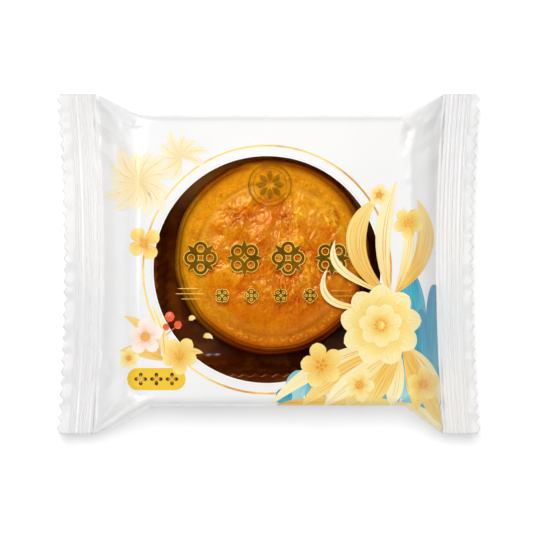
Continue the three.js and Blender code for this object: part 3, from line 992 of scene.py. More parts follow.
def along(points):
    return lambda t: curve(points, t)


def circle(x, y, radius, start=0.0, turn=2 * np.pi):
    def path(t):
        angle = start + turn * t
        return np.stack([x + radius * np.cos(angle), y + radius * np.sin(angle)], axis=1)
    return path


def leaf(ink_name, points, half, layer, full_at=0.4, rib_ink="gold_lines", rib=0.09):
    strip(ink_name, along(points), tapered(half, full_at), layer)
    if rib_ink:
        strip(rib_ink, along(points), tapered(rib, 0.15), layer + 0.6, cell=LINE_CELL)


def dot(ink_name, x, y, radius, layer):
    strip(ink_name, along([(x - radius, y), (x + radius, y)]),
          rounded(radius, 2 * radius), layer, cell=min(radius / 3, 0.35))


def bar(ink_name, start, end, half, layer):
    strip(ink_name, along([start, end]), rounded(half, math.dist(start, end)), layer,
          cell=min(PRINT_CELL, half / 8))


print("a quarter of a circle ends at", circle(0, 0, 1.0, 0.0, np.pi / 2)(np.ones(1))[0].round(2))

# %% [markdown]
# Printed flowers are loose and repeat only roughly. A petal is a strip that is widest near its
# tip, bent a little to one side, with three fine veins; a blossom sets petals round a heart of
# dots. Petals lie on alternate layers, so that each overlaps the next as on paper.


# %% A petal
def petal(ink_name, x, y, angle, inner, outer, half, layer, twist=0.0):
    """One petal from near the blossom's heart outwards, a little bent to one side."""
    def at(reach, swing):
        return around(x, y, reach, angle + swing)
    path = [at(inner, 0), at(mix(inner, outer, 0.5), twist), at(outer, 0)]
    strip(ink_name, along(path), tapered(half, 0.62, end=0.55, start=0.9), layer)
    for swing in (-0.16, 0.0, 0.16):
        vein = [at(inner + 0.1, swing), at(mix(inner, outer, 0.62), swing * 1.3 + twist * 0.5)]
        strip("gold_lines", along(vein), tapered(0.06, 0.2), layer + 0.5, cell=LINE_CELL)


print("inks in use so far:", len(inks))


# %% Small and large blossoms
def blossom(ink_name, x, y, radius, petals, turn, layer):
    share = 2 * np.pi / petals
    for number in range(petals):
        angle = turn + share * number
        reach = radius * (1.0 + 0.07 * math.sin(number * 2.3 + turn))
        petal(ink_name, x, y, angle, 0.06 * radius, reach, radius * min(0.43, 1.9 / petals),
              layer + 0.25 * (number % 2), twist=0.12)
    for number in range(petals):
        seed = around(x, y, 0.2 * radius, turn + share * (number + 0.5))
        dot("orange_ink", *seed, 0.085 * radius, layer + 1.2)
    dot("orange_ink", x, y, 0.09 * radius, layer + 1.3)


# ink, reach, petals, half width, turn; the lengths are shares of the blossom's radius
WHORLS = (
    ("cream_petals", 1.00, 9, 0.32, 0.1),
    ("yellow_petals", 0.76, 8, 0.27, 0.45),
    ("cream_petals", 0.54, 7, 0.20, 0.2),
    ("yellow_petals", 0.34, 6, 0.13, 0.6),
)


def full_blossom(x, y, radius, layer):
    """A large flower of whorls of petals, the inner ones shorter and set over the outer."""
    for number, (ink_name, reach, petals, half, turn) in enumerate(WHORLS):
        for count in range(petals):
            angle = turn + 2 * np.pi * count / petals
            petal(ink_name, x, y, angle, 0.05 * radius, reach * radius, half * radius,
                  layer + 1.2 * number + 0.4 * (count % 2), twist=0.16)
    dot("cream_petals", x, y, 0.5 * radius, layer - 0.5)
    dot("yellow_petals", x, y, 0.1 * radius, layer + 5.0)
    for count in range(9):
        seed = around(x, y, 0.13 * radius, 0.3 + 2 * np.pi * count / 9)
        dot("orange_ink", *seed, 0.032 * radius, layer + 6.0)


print("a large blossom has", sum(petals for _, _, petals, _, _ in WHORLS), "petals")

# %% [markdown]
# A gold ring frames the window, and a white line hides where the ink ends. The ring is laid in
# eight arcs, since a curved strip keeps its width best when it is short. The yellow label
# carries three small flowers where a pack would have words, for the part has no lettering.

# %% The ring and the window's edge
RING_RADIUS = 33.4
RING_HALF = 0.26
ARC_TURN = math.radians(45.02)  # a little more than an eighth, so that the arcs overlap
for start in np.arange(0, 360, 45):
    arc = circle(WINDOW_X, WINDOW_Y, RING_RADIUS, math.radians(start), ARC_TURN)
    strip("gold_ink", arc, even(RING_HALF), 0)
strip("white_rim", circle(WINDOW_X, WINDOW_Y, WINDOW_RADIUS + 0.12), even(0.15), 0)
print("ring:", len(inks["gold_ink"]), "arcs")

# %% The label and the short rules
LABEL_Y = -31.0
bar("label_yellow", (-38.1, LABEL_Y), (-22.3, LABEL_Y), 2.95, 4)
for place in (-34.4, -30.2, -26.0):
    for turn in range(4):
        petal("label_brown", place, LABEL_Y, turn * np.pi / 2, 0.25, 1.75, 0.5, 5)
# height of each rule, and where it starts and ends
RULES = (
    (-6.6, -24.6, -18.8), (-8.0, -25.2, -17.4), (-9.4, -23.6, -18.2),
    (-7.2, 16.6, 21.4), (-8.6, 17.4, 23.2),
)
for y, x0, x1 in RULES:
    strip("gold_ink", along([(x0, y), (x1, y)]), tapered(0.11, 0.5, 0.2, 0.2), 0)
print("label:", len(inks["label_brown"]), "small petals")

# %% [markdown]
# Across the window a pack of this kind carries large lettering in clear brown ink with a gold
# edge. Here plain four-lobed knots of the same size, place and colour stand for it. A knot is
# four small circles and four pointed drops, laid twice: wider in gold, then in brown on top.


# %% Ornaments in place of words
def ornament(x, y, size, turn):
    """A four-lobed knot in clear brown ink with a gold edge."""
    for ink_name, grow, layer in (("gold_edge", 0.2, 0), ("clear_brown", 0.0, 1)):
        for quarter in range(4):
            angle = turn + quarter * np.pi / 2
            lobe = circle(*around(x, y, 0.52 * size, angle), 0.30 * size)
            strip(ink_name, lobe, even(0.085 * size + grow), layer, cell=FINE_CELL)
            drop = [around(x, y, reach * size, angle + np.pi / 4) for reach in (0.30, 0.98)]
            strip(ink_name, along(drop), tapered(0.13 * size + grow, 0.45), layer + 0.3,
                  cell=FINE_CELL)


for number, x in enumerate((-18.3, -6.5, 5.3, 17.1)):
    ornament(x, 1.6, 4.9, (number % 2) * np.pi / 4)
for number, x in enumerate((-12.5, -4.6, 3.3, 11.2)):
    ornament(x, -8.5, 2.1, ((number + 1) % 2) * np.pi / 4)
print("knots:", len(inks["clear_brown"]), "brown shapes")

# %% A ring ornament above them, in a fainter ink
ROSETTE = (0.4, 21.3)
for radius, half in ((5.7, 0.22), (4.5, 0.1)):
    strip("faint_brown", circle(*ROSETTE, radius), even(half), 1, cell=FINE_CELL)
for number in range(8):
    spoke = [around(*ROSETTE, reach, number * np.pi / 4) for reach in (0.9, 3.9)]
    strip("faint_brown", along(spoke), tapered(0.75, 0.6), 1 + 0.3 * (number % 2), cell=0.3)
print("ring ornament:", len(inks["faint_brown"]), "shapes")

# %% [markdown]
# Upper left the film carries two large, very pale flowers, hardly darker than the white round
# them. Long bent petals are enough for them, in the palest ink, with a soft line down each.

# %% Pale chrysanthemums, upper left
for cx, cy, radius, petals, first, last in (
    (-34.8, 22.2, 10.9, 13, 0.2, 6.3),
    (-23.6, 29.0, 7.5, 9, -0.4, 4.9),
):
    for number in range(petals):
        angle = mix(first, last, number / petals)
        reach = radius * (0.86 + 0.14 * math.sin(number * 1.9))
        tip = around(cx, cy, reach, angle)
        knee = around(cx, cy, 0.6 * reach, angle + 0.35)
        leaf("pale_yellow", [(cx, cy), knee, tip], 0.15 * radius, 0.5 + 0.8 * (number % 3),
             full_at=0.7, rib_ink="pale_lines", rib=0.14)
        strip("pale_lines", along([(cx, cy), knee, (mix(cx, tip[0], 0.7), mix(cy, tip[1], 0.7))]),
              tapered(0.10, 0.4), 3.2)
print("pale petals:", len(inks["pale_yellow"]))

# %% [markdown]
# Lower right, rounded hills in three blue-greens stand behind the flowers. A hill is a strip
# with one blunt end. They overlap in layers from the back to the front, as in a print.

# %% Hills, lower right
HILLS = (
    # foot, knee, top, half width, ink
    ((44.0, -40.0), (46.6, -20.0), (44.6, -5.5), 3.2, "deep_teal"),
    ((38.0, -38.0), (39.6, -16.0), (37.8, -1.5), 3.9, "teal"),
    ((41.0, -40.0), (42.4, -24.0), (41.0, -12.0), 2.3, "deep_teal"),
    ((33.0, -37.6), (33.6, -24.0), (32.4, -13.0), 3.6, "deep_teal"),
    ((12.4, -37.8), (13.0, -32.0), (12.0, -26.2), 3.2, "teal"),
    ((6.0, -37.8), (7.4, -33.0), (8.6, -28.6), 2.9, "light_teal"),
    ((3.6, -37.9), (4.2, -35.6), (4.6, -33.4), 2.2, "deep_teal"),
)
for number, (foot, knee, top, half, ink_name) in enumerate(HILLS):
    strip(ink_name, along([foot, knee, top]), tapered(half, 0.55, end=0.5, start=0.2),
          1.0 + 0.9 * (number % 4))
print("hills:", len(HILLS))

# %% [markdown]
# In front of the hills a spray of long leaves fans out from the large flower. Each leaf is a
# curve through four points, so a row of the table is a leaf: its ink, its curve, its width and
# its layer. A thin gold line runs down its middle, and another along one edge.

# %% Table of the long leaves
LEAVES = (
    # ink, curve points, half width, layer
    ("golden_leaf", [(33, -9), (19.5, 1.0), (22.5, 12.5), (29.5, 17.5)], 2.7, 5),
    ("cream_leaf", [(33, -9), (29.0, 4.0), (31.0, 14.0), (34.5, 22.5)], 2.1, 6),
    ("golden_leaf", [(34, -8), (43.0, 0.0), (44.5, 9.0), (40.0, 17.5)], 2.3, 5),
    ("cream_leaf", [(34, -8), (38.6, 2.0), (38.4, 9.0), (36.4, 15.5)], 1.5, 7),
    ("cream_leaf", [(31, -8), (20.0, -3.0), (15.5, 0.0), (18.0, 6.5)], 1.1, 5),
    ("cream_leaf", [(30, -11), (17.0, -13.5), (12.0, -8.0), (16.0, -1.0)], 1.0, 5),
    ("cream_leaf", [(33, -22), (22.0, -22.0), (8.0, -30.0), (0.5, -38.0)], 2.1, 7),
    ("golden_leaf", [(34, -23), (24.0, -26.0), (14.0, -33.0), (9.0, -38.0)], 2.5, 8),
    ("cream_leaf", [(34, -23), (27.0, -28.0), (19.0, -34.0), (15.0, -38.1)], 2.6, 9),
    ("golden_leaf", [(35, -23), (29.0, -29.0), (23.0, -35.0), (21.0, -38.1)], 2.8, 8),
    ("golden_leaf", [(35, -23), (32.0, -30.0), (28.0, -35.0), (27.5, -38.1)], 2.6, 9),
    ("cream_leaf", [(35, -23), (35.0, -30.0), (33.5, -36.0), (33.0, -38.1)], 2.3, 8),
    ("golden_leaf", [(36, -22), (40.0, -28.0), (40.0, -35.0), (40.0, -39.4)], 2.5, 9),
    ("cream_leaf", [(36, -22), (43.0, -26.0), (45.5, -33.0), (45.6, -40.0)], 2.0, 8),
    ("golden_leaf", [(36, -23), (41.0, -32.0), (44.0, -38.0), (46.6, -43.4)], 2.2, 10),
)
print("long leaves:", len(LEAVES))

# %% Draw the leaves, over a ground cover along the film's front edge
strip("golden_leaf", along([(2, -38.4), (10, -37.2), (22, -37.0), (35, -37.4)]),
      tapered(1.6, 0.5, 0.4, 0.4), 6.5, cell=0.35)
strip("cream_leaf", along([(33, -37.4), (40, -39.6), (47.2, -44.8)]),
      tapered(2.2, 0.6, 0.4), 6.5, cell=0.3)
for ink_name, points, half, layer in LEAVES:
    leaf(ink_name, points, half, layer, full_at=0.55)
    shift = 0.45 * half
    edge = [(x + shift, y - shift * 0.6) for x, y in points]
    strip("gold_lines", along([points[0], *edge[1:-1], points[-1]]), tapered(0.07, 0.3),
          layer + 0.7, cell=LINE_CELL)
print("golden leaves:", len(inks["golden_leaf"]), "and cream ones:", len(inks["cream_leaf"]))

# %% Flowers of the lower right
full_blossom(30.2, -16.5, 11.0, 11)
# ink, x, y, radius, petals, turn, layer
for flower in (
    ("yellow_petals", 14.2, -27.2, 6.0, 5, 0.5, 12),
    ("cream_petals", 24.5, -32.6, 4.4, 5, 1.1, 13),
    ("yellow_petals", 41.6, -32.4, 4.6, 5, 0.2, 13),
    ("yellow_petals", 37.6, 11.0, 4.2, 5, 0.9, 9),
    ("cream_petals", 29.8, 18.6, 3.0, 5, 0.1, 8),
):
    blossom(*flower)
print("yellow petals so far:", len(inks["yellow_petals"]))

# %% [markdown]
# On the left a looser bunch balances it: a few small flowers, short leaves and coral berries
# on fine stalks. They use the same helpers, so only places and sizes are new.

# %% Blossoms and berries on the left
blossom("yellow_petals", -33.6, 5.6, 4.7, 4, 0.55, 2)
for sprig in (
    ("golden_leaf", [(-28.0, -26.0), (-35.0, -22.0), (-40.2, -23.5)], 1.6, 2),
    ("golden_leaf", [(-29.0, -24.5), (-33.0, -16.0), (-39.0, -14.0)], 1.5, 2),
    ("cream_leaf", [(-28.0, -25.0), (-28.0, -17.0), (-31.4, -11.4)], 1.4, 3),
    ("golden_leaf", [(-26.5, -26.0), (-21.0, -22.5), (-17.6, -24.0)], 1.2, 3),
):
    leaf(*sprig)
for flower in (
    ("blush_petals", -33.2, -19.6, 4.9, 5, 0.3, 5),
    ("yellow_petals", -24.0, -24.6, 5.0, 5, 0.9, 6),
    ("cream_petals", -37.6, -25.4, 2.9, 5, 0.1, 6),
):
    blossom(*flower)
for x, y, radius in ((-26.6, -14.2, 1.35), (-24.4, -16.4, 1.1), (-27.6, -17.0, 0.95)):
    dot("coral_ink", x, y, radius, 6)
    strip("gold_lines", along([(x, y), (-28.6, -20.0)]), tapered(0.1, 0.5), 4)
for points in ([(-17.6, -19.8), (-16.2, -18.6), (-14.9, -20.2)],
               [(-21.4, -15.2), (-20.6, -14.0), (-19.6, -14.8)]):
    leaf("cream_petals", points, 0.75, 2, rib_ink=None)
print("printed shapes:", {name: len(shapes) for name, shapes in inks.items()})

# %% [markdown]
# Now the shapes are laid down. A Shrinkwrap modifier could drop flat shapes onto the film, but
# it smears them over steep folds. The film's height is known everywhere, so each point is set
# straight on it and moved off along the film's own slope by a few hundredths of a millimetre,
# a little more for each layer of ink.


# %% Lay the shapes on the film
LAYER_STEP = 0.011
FIRST_LAYER = 0.05
SHAPE_STEP = 0.0009  # keeps two shapes of one layer from lying in the same plane
SHAPE_TURNS = 11  # after so many shapes the small steps start again
SIDE_MARGIN = 0.12  # how far the ink stays off the film's side edges
FIN_MARGIN = 0.1  # and off the ribbed bands
SLIVER = 1e-11  # faces smaller than this, in square metres, are dropped


def proud_of_film(x, y, gap):
    """Points that stand off the film by the gap, square to its face."""
    near = 0.04
    tilt_x = (film_height(x + near, y) - film_height(x - near, y)) / (2 * near)
    tilt_y = (film_height(x, y + near) - film_height(x, y - near)) / (2 * near)
    size = np.sqrt(tilt_x**2 + tilt_y**2 + 1.0)
    z = film_height(x, y) + gap / size
    return np.stack([x - tilt_x / size * gap, y - tilt_y / size * gap, z], axis=1)


def lay_ink(name, shapes):
    """One mesh for one ink: a grid for each strip, carried onto the film."""
    bm = bmesh.new()
    bm.loops.layers.uv.new("UVMap")
    for number, (path, width, layer, steps, rows) in enumerate(shapes):
        gap = FIRST_LAYER + LAYER_STEP * layer + SHAPE_STEP * (number % SHAPE_TURNS)
        made = add_grid(bm, steps, rows)
        u = np.array([v.co.x for v in made]) + 0.5
        v = np.array([v.co.y for v in made]) * 2.0
        middle = path(u)
        heading = path(u + 0.004) - path(u - 0.004)
        heading /= np.maximum(np.hypot(*heading.T), 1e-9)[:, None]
        half = width(np.clip(u, 0, 1))
        x = middle[:, 0] - heading[:, 1] * half * v
        y = middle[:, 1] + heading[:, 0] * half * v
        rim = half_width(unbow(x, y), y >= 0) - SIDE_MARGIN
        y = np.clip(y, -rim, rim)
        start = unbow(x, y)
        x = x + (np.clip(start, FIN_LEFT + FIN_MARGIN, FIN_RIGHT - FIN_MARGIN) - start)
        places = proud_of_film(x, y, gap) * MM
        for vert, place in zip(made, places):
            vert.co = place
    slivers = [f for f in bm.faces if f.calc_area() < SLIVER]
    bmesh.ops.delete(bm, geom=slivers, context="FACES")
    return place_object("print_" + name, store(bm, bpy.data.meshes.new(name)))


prints = {name: lay_ink(name, shapes) for name, shapes in inks.items()}
print("print:", sum(len(p.data.polygons) for p in prints.values()), "faces")

# %% [markdown]
# ## Finishes
# Nearly every finish is one Principled shader, fed by textures that sit still on the piece.
# Three effects serve several finishes, so they are built once as node groups: soft blotches,
# the faint ripple of stretched film, and its fine facets.

# %% A material and its nodes
def new_finish(name):
    finish = bpy.data.materials.new(name)
    finish.use_nodes = True
    return finish, finish.node_tree, finish.node_tree.nodes["Principled BSDF"]


def set_inputs(tree, node, values):
    """Gives each named socket a plain value, or a link where the value is another's output."""
    for name, value in values.items():
        socket = node.inputs[name]
        if isinstance(value, bpy.types.NodeSocket):
            tree.links.new(value, socket)
        else:
            socket.default_value = value


def add_node(tree, kind, inputs=None, **settings):
    """A node with its settings made and its sockets filled."""
    node = tree.nodes.new(kind)
    for key, value in settings.items():
        setattr(node, key, value)
    set_inputs(tree, node, inputs or {})
    return node


print("finishes so far:", len(bpy.data.materials))

# %% [markdown]
# The same few nodes are wanted again and again, so each gets a helper that takes what goes in
# and gives back the socket that comes out. A finish then reads like a recipe.


# %% Nodes that mix, measure and calculate
def colour_steps(tree, value, steps):
    """A colour ramp through the given (place, colour) steps."""
    node = add_node(tree, "ShaderNodeValToRGB", {"Fac": value})
    marks = node.color_ramp.elements
    while len(marks) < len(steps):
        marks.new(0.5)
    for mark, (place, colour) in zip(marks, steps):
        mark.position = place
        mark.color = colour
    return node.outputs["Color"]


def ink_steps(tree, value, *steps):
    """A colour ramp whose steps are a place and then red, green and blue as for an ink."""
    return colour_steps(tree, value, [(place, ink(*colour)) for place, *colour in steps])


def blend(tree, share, first, second, kind="MIX"):
    """The first colour where the share is 0 and the second where it is 1."""
    return add_node(
        tree, "ShaderNodeMix", {0: share, 6: first, 7: second}, data_type="RGBA", blend_type=kind
    ).outputs[2]


def calculate(tree, operation, first, second=0.0, clamp=False):
    return add_node(
        tree, "ShaderNodeMath", {0: first, 1: second}, operation=operation, use_clamp=clamp
    ).outputs[0]


def vector_maths(tree, operation, *vectors):
    node = add_node(tree, "ShaderNodeVectorMath", dict(enumerate(vectors)), operation=operation)
    return node.outputs["Value" if operation in ("DOT_PRODUCT", "LENGTH") else "Vector"]


def map_range(tree, value, start, end, low=0.0, high=1.0, smooth=False):
    """A value that goes from low to high while the one given goes from start to end."""
    return add_node(
        tree, "ShaderNodeMapRange",
        {"Value": value, "From Min": start, "From Max": end, "To Min": low, "To Max": high},
        interpolation_type="SMOOTHSTEP" if smooth else "LINEAR",
    ).outputs["Result"]


def noise_value(tree, place, scale, detail, roughness=0.5, distortion=0.0, kind="FBM"):
    return add_node(
        tree, "ShaderNodeTexNoise",
        {"Vector": place, "Scale": scale, "Detail": detail, "Roughness": roughness,
         "Distortion": distortion},
        noise_type=kind,
    ).outputs["Fac"]


# %% [markdown]
# Nothing real is one even colour: ink is thicker here and thinner there, and crust is browner
# here and there. The first group turns cloudy noise into soft-edged spots. How large they are
# and how much they cover are its inputs, so one group can serve many finishes.


# %% A group for soft blotches
def new_group(name, output, **numbers):
    """An empty group that takes a place and some numbers, and gives one value."""
    group = bpy.data.node_groups.new(name, "ShaderNodeTree")
    group.interface.new_socket("Place", in_out="INPUT", socket_type="NodeSocketVector")
    for label, value in numbers.items():
        socket = group.interface.new_socket(
            label, in_out="INPUT", socket_type="NodeSocketFloat"
        )
        socket.default_value = value
    group.interface.new_socket(output, in_out="OUTPUT", socket_type="NodeSocketFloat")
    given = group.nodes.new("NodeGroupInput").outputs
    return group, given, group.nodes.new("NodeGroupOutput")


blotches, given, result = new_group("Soft blotches", "Mask", Scale=100.0, From=0.4, To=0.6)
cloud = noise_value(blotches, given["Place"], given["Scale"], 4.0, 0.55)
spread = map_range(blotches, cloud, given["From"], given["To"], smooth=True)
set_inputs(blotches, result, {"Mask": spread})
print("blotches:", len(blotches.nodes), "nodes")

# %% [markdown]
# Film pulled over a tray is never quite flat; it ripples, more along the pull than across it.
# That is far too fine for the mesh, so this group gives a height for a bump instead: broad
# noise, and a little noise that is drawn out along one axis.

# %% A group for the ripple of stretched film
film_ripple, given, result = new_group("Film ripple", "Height", Amount=1.0)
broad_ripple = noise_value(film_ripple, given["Place"], 90.0, 2.0, 0.4)
pull_lines = add_node(
    film_ripple, "ShaderNodeMapping", {"Vector": given["Place"], "Scale": (260.0, 40.0, 60.0)}
)
fine_ripple = noise_value(film_ripple, pull_lines.outputs[0], 1.0, 3.0, 0.5)
fine_ripple = calculate(film_ripple, "MULTIPLY", fine_ripple, 0.1)
height = calculate(film_ripple, "ADD", broad_ripple, fine_ripple)
height = calculate(film_ripple, "MULTIPLY", height, given["Amount"])
set_inputs(film_ripple, result, {"Height": height})
print("ripple:", len(film_ripple.nodes), "nodes")

# %% [markdown]
# The large creases are in the mesh. Between them, towards the four corners, the film also
# breaks into small flat facets, finer than the mesh is. Voronoi cells meet in sharp borders,
# as facets do. Folding the place over both axes makes all cells point to a fin's corner, and a
# third coordinate keeps the four corners from being each other's mirror image.

# %% A group for fine facets towards the corners
film_facets, given, result = new_group("Film facets", "Height")
parts = add_node(film_facets, "ShaderNodeSeparateXYZ", {"Vector": given["Place"]}).outputs
from_middle = calculate(film_facets, "ABSOLUTE", parts["X"])
to_side = calculate(film_facets, "ABSOLUTE", parts["Y"])
folded_place = add_node(
    film_facets, "ShaderNodeCombineXYZ",
    {"X": calculate(film_facets, "ADD", from_middle, to_side),
     "Y": calculate(film_facets, "SUBTRACT", from_middle, to_side),
     "Z": calculate(film_facets, "ADD", parts["X"], parts["Y"])},
).outputs[0]
drawn_out = vector_maths(film_facets, "MULTIPLY", folded_place, (64.0, 180.0, 45.0))
facets = add_node(film_facets, "ShaderNodeTexVoronoi", {"Vector": drawn_out, "Scale": 1.0})
height = calculate(film_facets, "MULTIPLY", facets.outputs["Distance"], 4.0)
# what is read, where the facets start and are full, in metres, and the least share of them
for value, start, end, least in (
    (from_middle, 0.034, 0.039, 0.0),
    (from_middle, 0.048, 0.0465, 0.0),
    (to_side, 0.014, 0.034, 0.2),
):
    share = map_range(film_facets, value, start, end, low=least, smooth=True)
    height = calculate(film_facets, "MULTIPLY", height, share)
set_inputs(film_facets, result, {"Height": height})
print("facets:", len(film_facets.nodes), "nodes")


# %% Put a group to use
FILM_DENTS = 0.00022  # metres that a height of 1 stands for on the printed film


def use_group(tree, group, place, **numbers):
    """Puts the group into a finish and gives back the value that comes out of it."""
    return add_node(
        tree, "ShaderNodeGroup", {"Place": place, **numbers}, node_tree=group
    ).outputs[0]


def object_place(tree):
    return add_node(tree, "ShaderNodeTexCoord").outputs["Object"]


def bump(tree, height, distance):
    return add_node(
        tree, "ShaderNodeBump", {"Height": height, "Distance": distance}
    ).outputs["Normal"]


def film_normal(tree, place):
    """The way the film's face points, with its ripple and its facets."""
    ripple = use_group(tree, film_ripple, place)
    facets = use_group(tree, film_facets, place)
    return bump(tree, calculate(tree, "ADD", ripple, facets), FILM_DENTS)


print("groups ready:", [group.name for group in bpy.data.node_groups])

# %% [markdown]
# ### Printed white film
# Most of the sachet is film with white ink behind it: a soft white under a glossy clear face.
# A rough base with a clear coat over it gives both, so highlights stay sharper than the white.

# %% Printed white film
FILM_ROUGHNESS = 0.30
COAT_ROUGHNESS = 0.18
white_film, tree, shader = new_finish("printed_white_film")
place = object_place(tree)
thin_spots = use_group(tree, blotches, place, Scale=28.0, From=0.3, To=0.7)
set_inputs(tree, shader, {
    "Base Color": blend(tree, thin_spots, ink(230, 229, 229), ink(234, 233, 232)),
    "Roughness": FILM_ROUGHNESS,
    "Specular IOR Level": 0.4,
    "Coat Weight": 1.0,
    "Coat Roughness": COAT_ROUGHNESS,
    "Normal": film_normal(tree, place),
})
for sheet in (film_front, film_back):
    sheet.data.materials.append(white_film)
print("white film:", len(tree.nodes), "nodes")

# %% [markdown]
# ### Clear film
# The window has no ink. Glass would bend the light and darken what lies under it, which a film
# this thin doesn't do. So light passes straight through, and a mirror is mixed in by Fresnel:
# faint when seen from straight above, stronger where the film slopes away.

# %% Clear film
clear_film, tree, shader = new_finish("clear_film")
tree.nodes.remove(shader)
normal = bump(tree, use_group(tree, film_ripple, object_place(tree)), 0.0004)
see_through = add_node(tree, "ShaderNodeBsdfTransparent")
mirror = add_node(tree, "ShaderNodeBsdfGlossy", {"Roughness": 0.08, "Normal": normal})
facing = add_node(tree, "ShaderNodeFresnel", {"IOR": 1.11, "Normal": normal})
film_mix = add_node(
    tree, "ShaderNodeMixShader",
    {0: facing.outputs[0], 1: see_through.outputs[0], 2: mirror.outputs[0]},
)
set_inputs(tree, tree.nodes["Material Output"], {"Surface": film_mix.outputs[0]})
window_film.data.materials.append(clear_film)
print("clear film:", len(tree.nodes), "nodes")

# %% [markdown]
# ### Tray plastic
# The tray is thin brown plastic that lets some light through, so the wall that the light
# shines into glows amber, while the rest stays nearly black-brown. Real light through plastic
# takes long to work out; a lighter colour on the wall that faces the light looks the same.

# %% Brown tray plastic
brown_plastic, tree, shader = new_finish("brown_tray_plastic")
place = object_place(tree)
patches = use_group(tree, blotches, place, Scale=150.0, From=0.44, To=0.62)
shade = blend(tree, patches, ink(86, 31, 1), ink(110, 54, 4))
towards_light = vector_maths(tree, "DOT_PRODUCT", place, (0.15, 1.0, 0.0))
lit_wall = map_range(tree, towards_light, 0.010, 0.022, high=0.9, smooth=True)
set_inputs(tree, shader, {
    "Base Color": blend(tree, lit_wall, shade, ink(206, 130, 16)),
    "Roughness": 0.16,
    "Specular IOR Level": 0.15,
    "Normal": bump(tree, use_group(tree, film_ripple, place), 0.0003),
})
tray.data.materials.append(brown_plastic)
print("tray plastic:", len(tree.nodes), "nodes")

# %% [markdown]
# ### Baked crust
# A crust browns from its edges in: the rim is dark, the slope inside the rim is golden, the
# puffed middle is orange brown, and painted shade darkens the folds. Painting would freeze it in
# one picture. Here each cause of a colour is one short layer over those before: rings, patches,
# painted light and shade by the side it faces, painted light and shade on the relief, the grain
# and the rim. First the rings, read from the distance to the middle.

# %% Rings of colour
RINGS_REACH = 0.028  # metres from the middle to the last place of the ramp
RINGS_WOBBLE = 0.0016  # metres between the least and the most that a ring strays
baked_crust, tree, shader = new_finish("baked_crust")
place = object_place(tree)
centred = add_node(
    tree, "ShaderNodeMapping",
    {"Vector": place, "Location": (-CAKE_X * MM, -CAKE_Y * MM, 0), "Scale": (1, 1, 0)},
).outputs[0]
wobble = calculate(tree, "SUBTRACT", noise_value(tree, place, 160.0, 3.0), 0.5)
wobble = calculate(tree, "MULTIPLY", wobble, RINGS_WOBBLE)
from_middle = calculate(tree, "ADD", vector_maths(tree, "LENGTH", centred), wobble)
ring_place = calculate(tree, "DIVIDE", from_middle, RINGS_REACH)
crust = ink_steps(
    tree, ring_place,
    (0.00, 206, 112, 3), (0.50, 210, 120, 3), (0.66, 214, 140, 4), (0.72, 216, 146, 5),
    (0.75, 206, 133, 4), (0.79, 216, 140, 6), (0.84, 204, 127, 4), (0.90, 186, 100, 3),
    (0.94, 196, 96, 2), (0.98, 196, 88, 2),
)
print("crust with rings:", len(tree.nodes), "nodes")

# %% Toasted and golden patches
toasted = use_group(tree, blotches, place, Scale=130.0, From=0.47, To=0.57)
in_middle = map_range(tree, ring_place, 0.74, 0.60, 0.1, 0.7)
crust = blend(tree, calculate(tree, "MULTIPLY", toasted, in_middle), crust, ink(206, 90, 2))
golden = use_group(tree, blotches, place, Scale=75.0, From=0.50, To=0.64)
crust = blend(tree, calculate(tree, "MULTIPLY", golden, 0.5), crust, ink(240, 168, 12))
print("crust with patches:", len(tree.nodes), "nodes")

# %% Painted shade on the front
# painted shade: the side of the cake that faces the front, away from the lamps, is darker
backward = vector_maths(tree, "DOT_PRODUCT", centred, (-0.45, 1.0, 0.0))
painted_front_shade = map_range(tree, backward, 0.004, -0.022, high=0.75, smooth=True)
front_shade_steps = ink_steps(
    tree, ring_place,
    (0.60, 196, 92, 2), (0.80, 182, 88, 2), (0.86, 168, 54, 1), (0.92, 140, 32, 1),
)
crust = blend(tree, painted_front_shade, crust, front_shade_steps)
print("crust with its front:", len(tree.nodes), "nodes")

# %% Painted light on the left and the back
rightward = add_node(tree, "ShaderNodeSeparateXYZ", {"Vector": centred}).outputs["X"]
# painted light: the left and the back of the cake, which face the lamps, are lighter
painted_left_light = map_range(tree, rightward, -0.015, -0.023, high=0.75, smooth=True)
crust = blend(tree, painted_left_light, crust, ink(216, 142, 6))
painted_back_light = map_range(tree, backward, 0.013, 0.021, high=0.65, smooth=True)
inside_rim = map_range(tree, ring_place, 0.88, 0.78)
crust = blend(tree, calculate(tree, "MULTIPLY", painted_back_light, inside_rim), crust, ink(232, 146, 7))
print("crust with its sides:", len(tree.nodes), "nodes")

# %% [markdown]
# The next layers read the relief kept on the mesh and paint light and shade on it. What stands
# proud gets a painted highlight and what lies low gets painted shade; the lip of each scale gets
# a painted highlight and its foot painted shade.

# %% Painted light and shade on the relief
def kept_amount(tree, name):
    """An amount that was kept on the crust's points."""
    return add_node(tree, "ShaderNodeAttribute", attribute_name=name).outputs["Fac"]


# amount, where its colour starts and is full, how strong it gets, soft ends, the colour
# raised relief and the lips get a painted highlight, low relief and the scales' feet painted shade
RELIEF_LIGHT_AND_SHADE = (
    ("puffed", 0.15, 0.85, 0.65, True, (250, 182, 36)),
    ("puffed", -0.05, -0.42, 0.85, True, (176, 66, 1)),
    ("lips", 0.1, 0.8, 0.5, False, (250, 196, 70)),
    ("lips", -0.1, -0.8, 0.55, False, (158, 58, 1)),
)
for name, start, end, most, smooth, colour in RELIEF_LIGHT_AND_SHADE:
    share = map_range(tree, kept_amount(tree, name), start, end, high=most, smooth=smooth)
    crust = blend(tree, share, crust, ink(*colour))
print("crust with relief:", len(tree.nodes), "nodes")

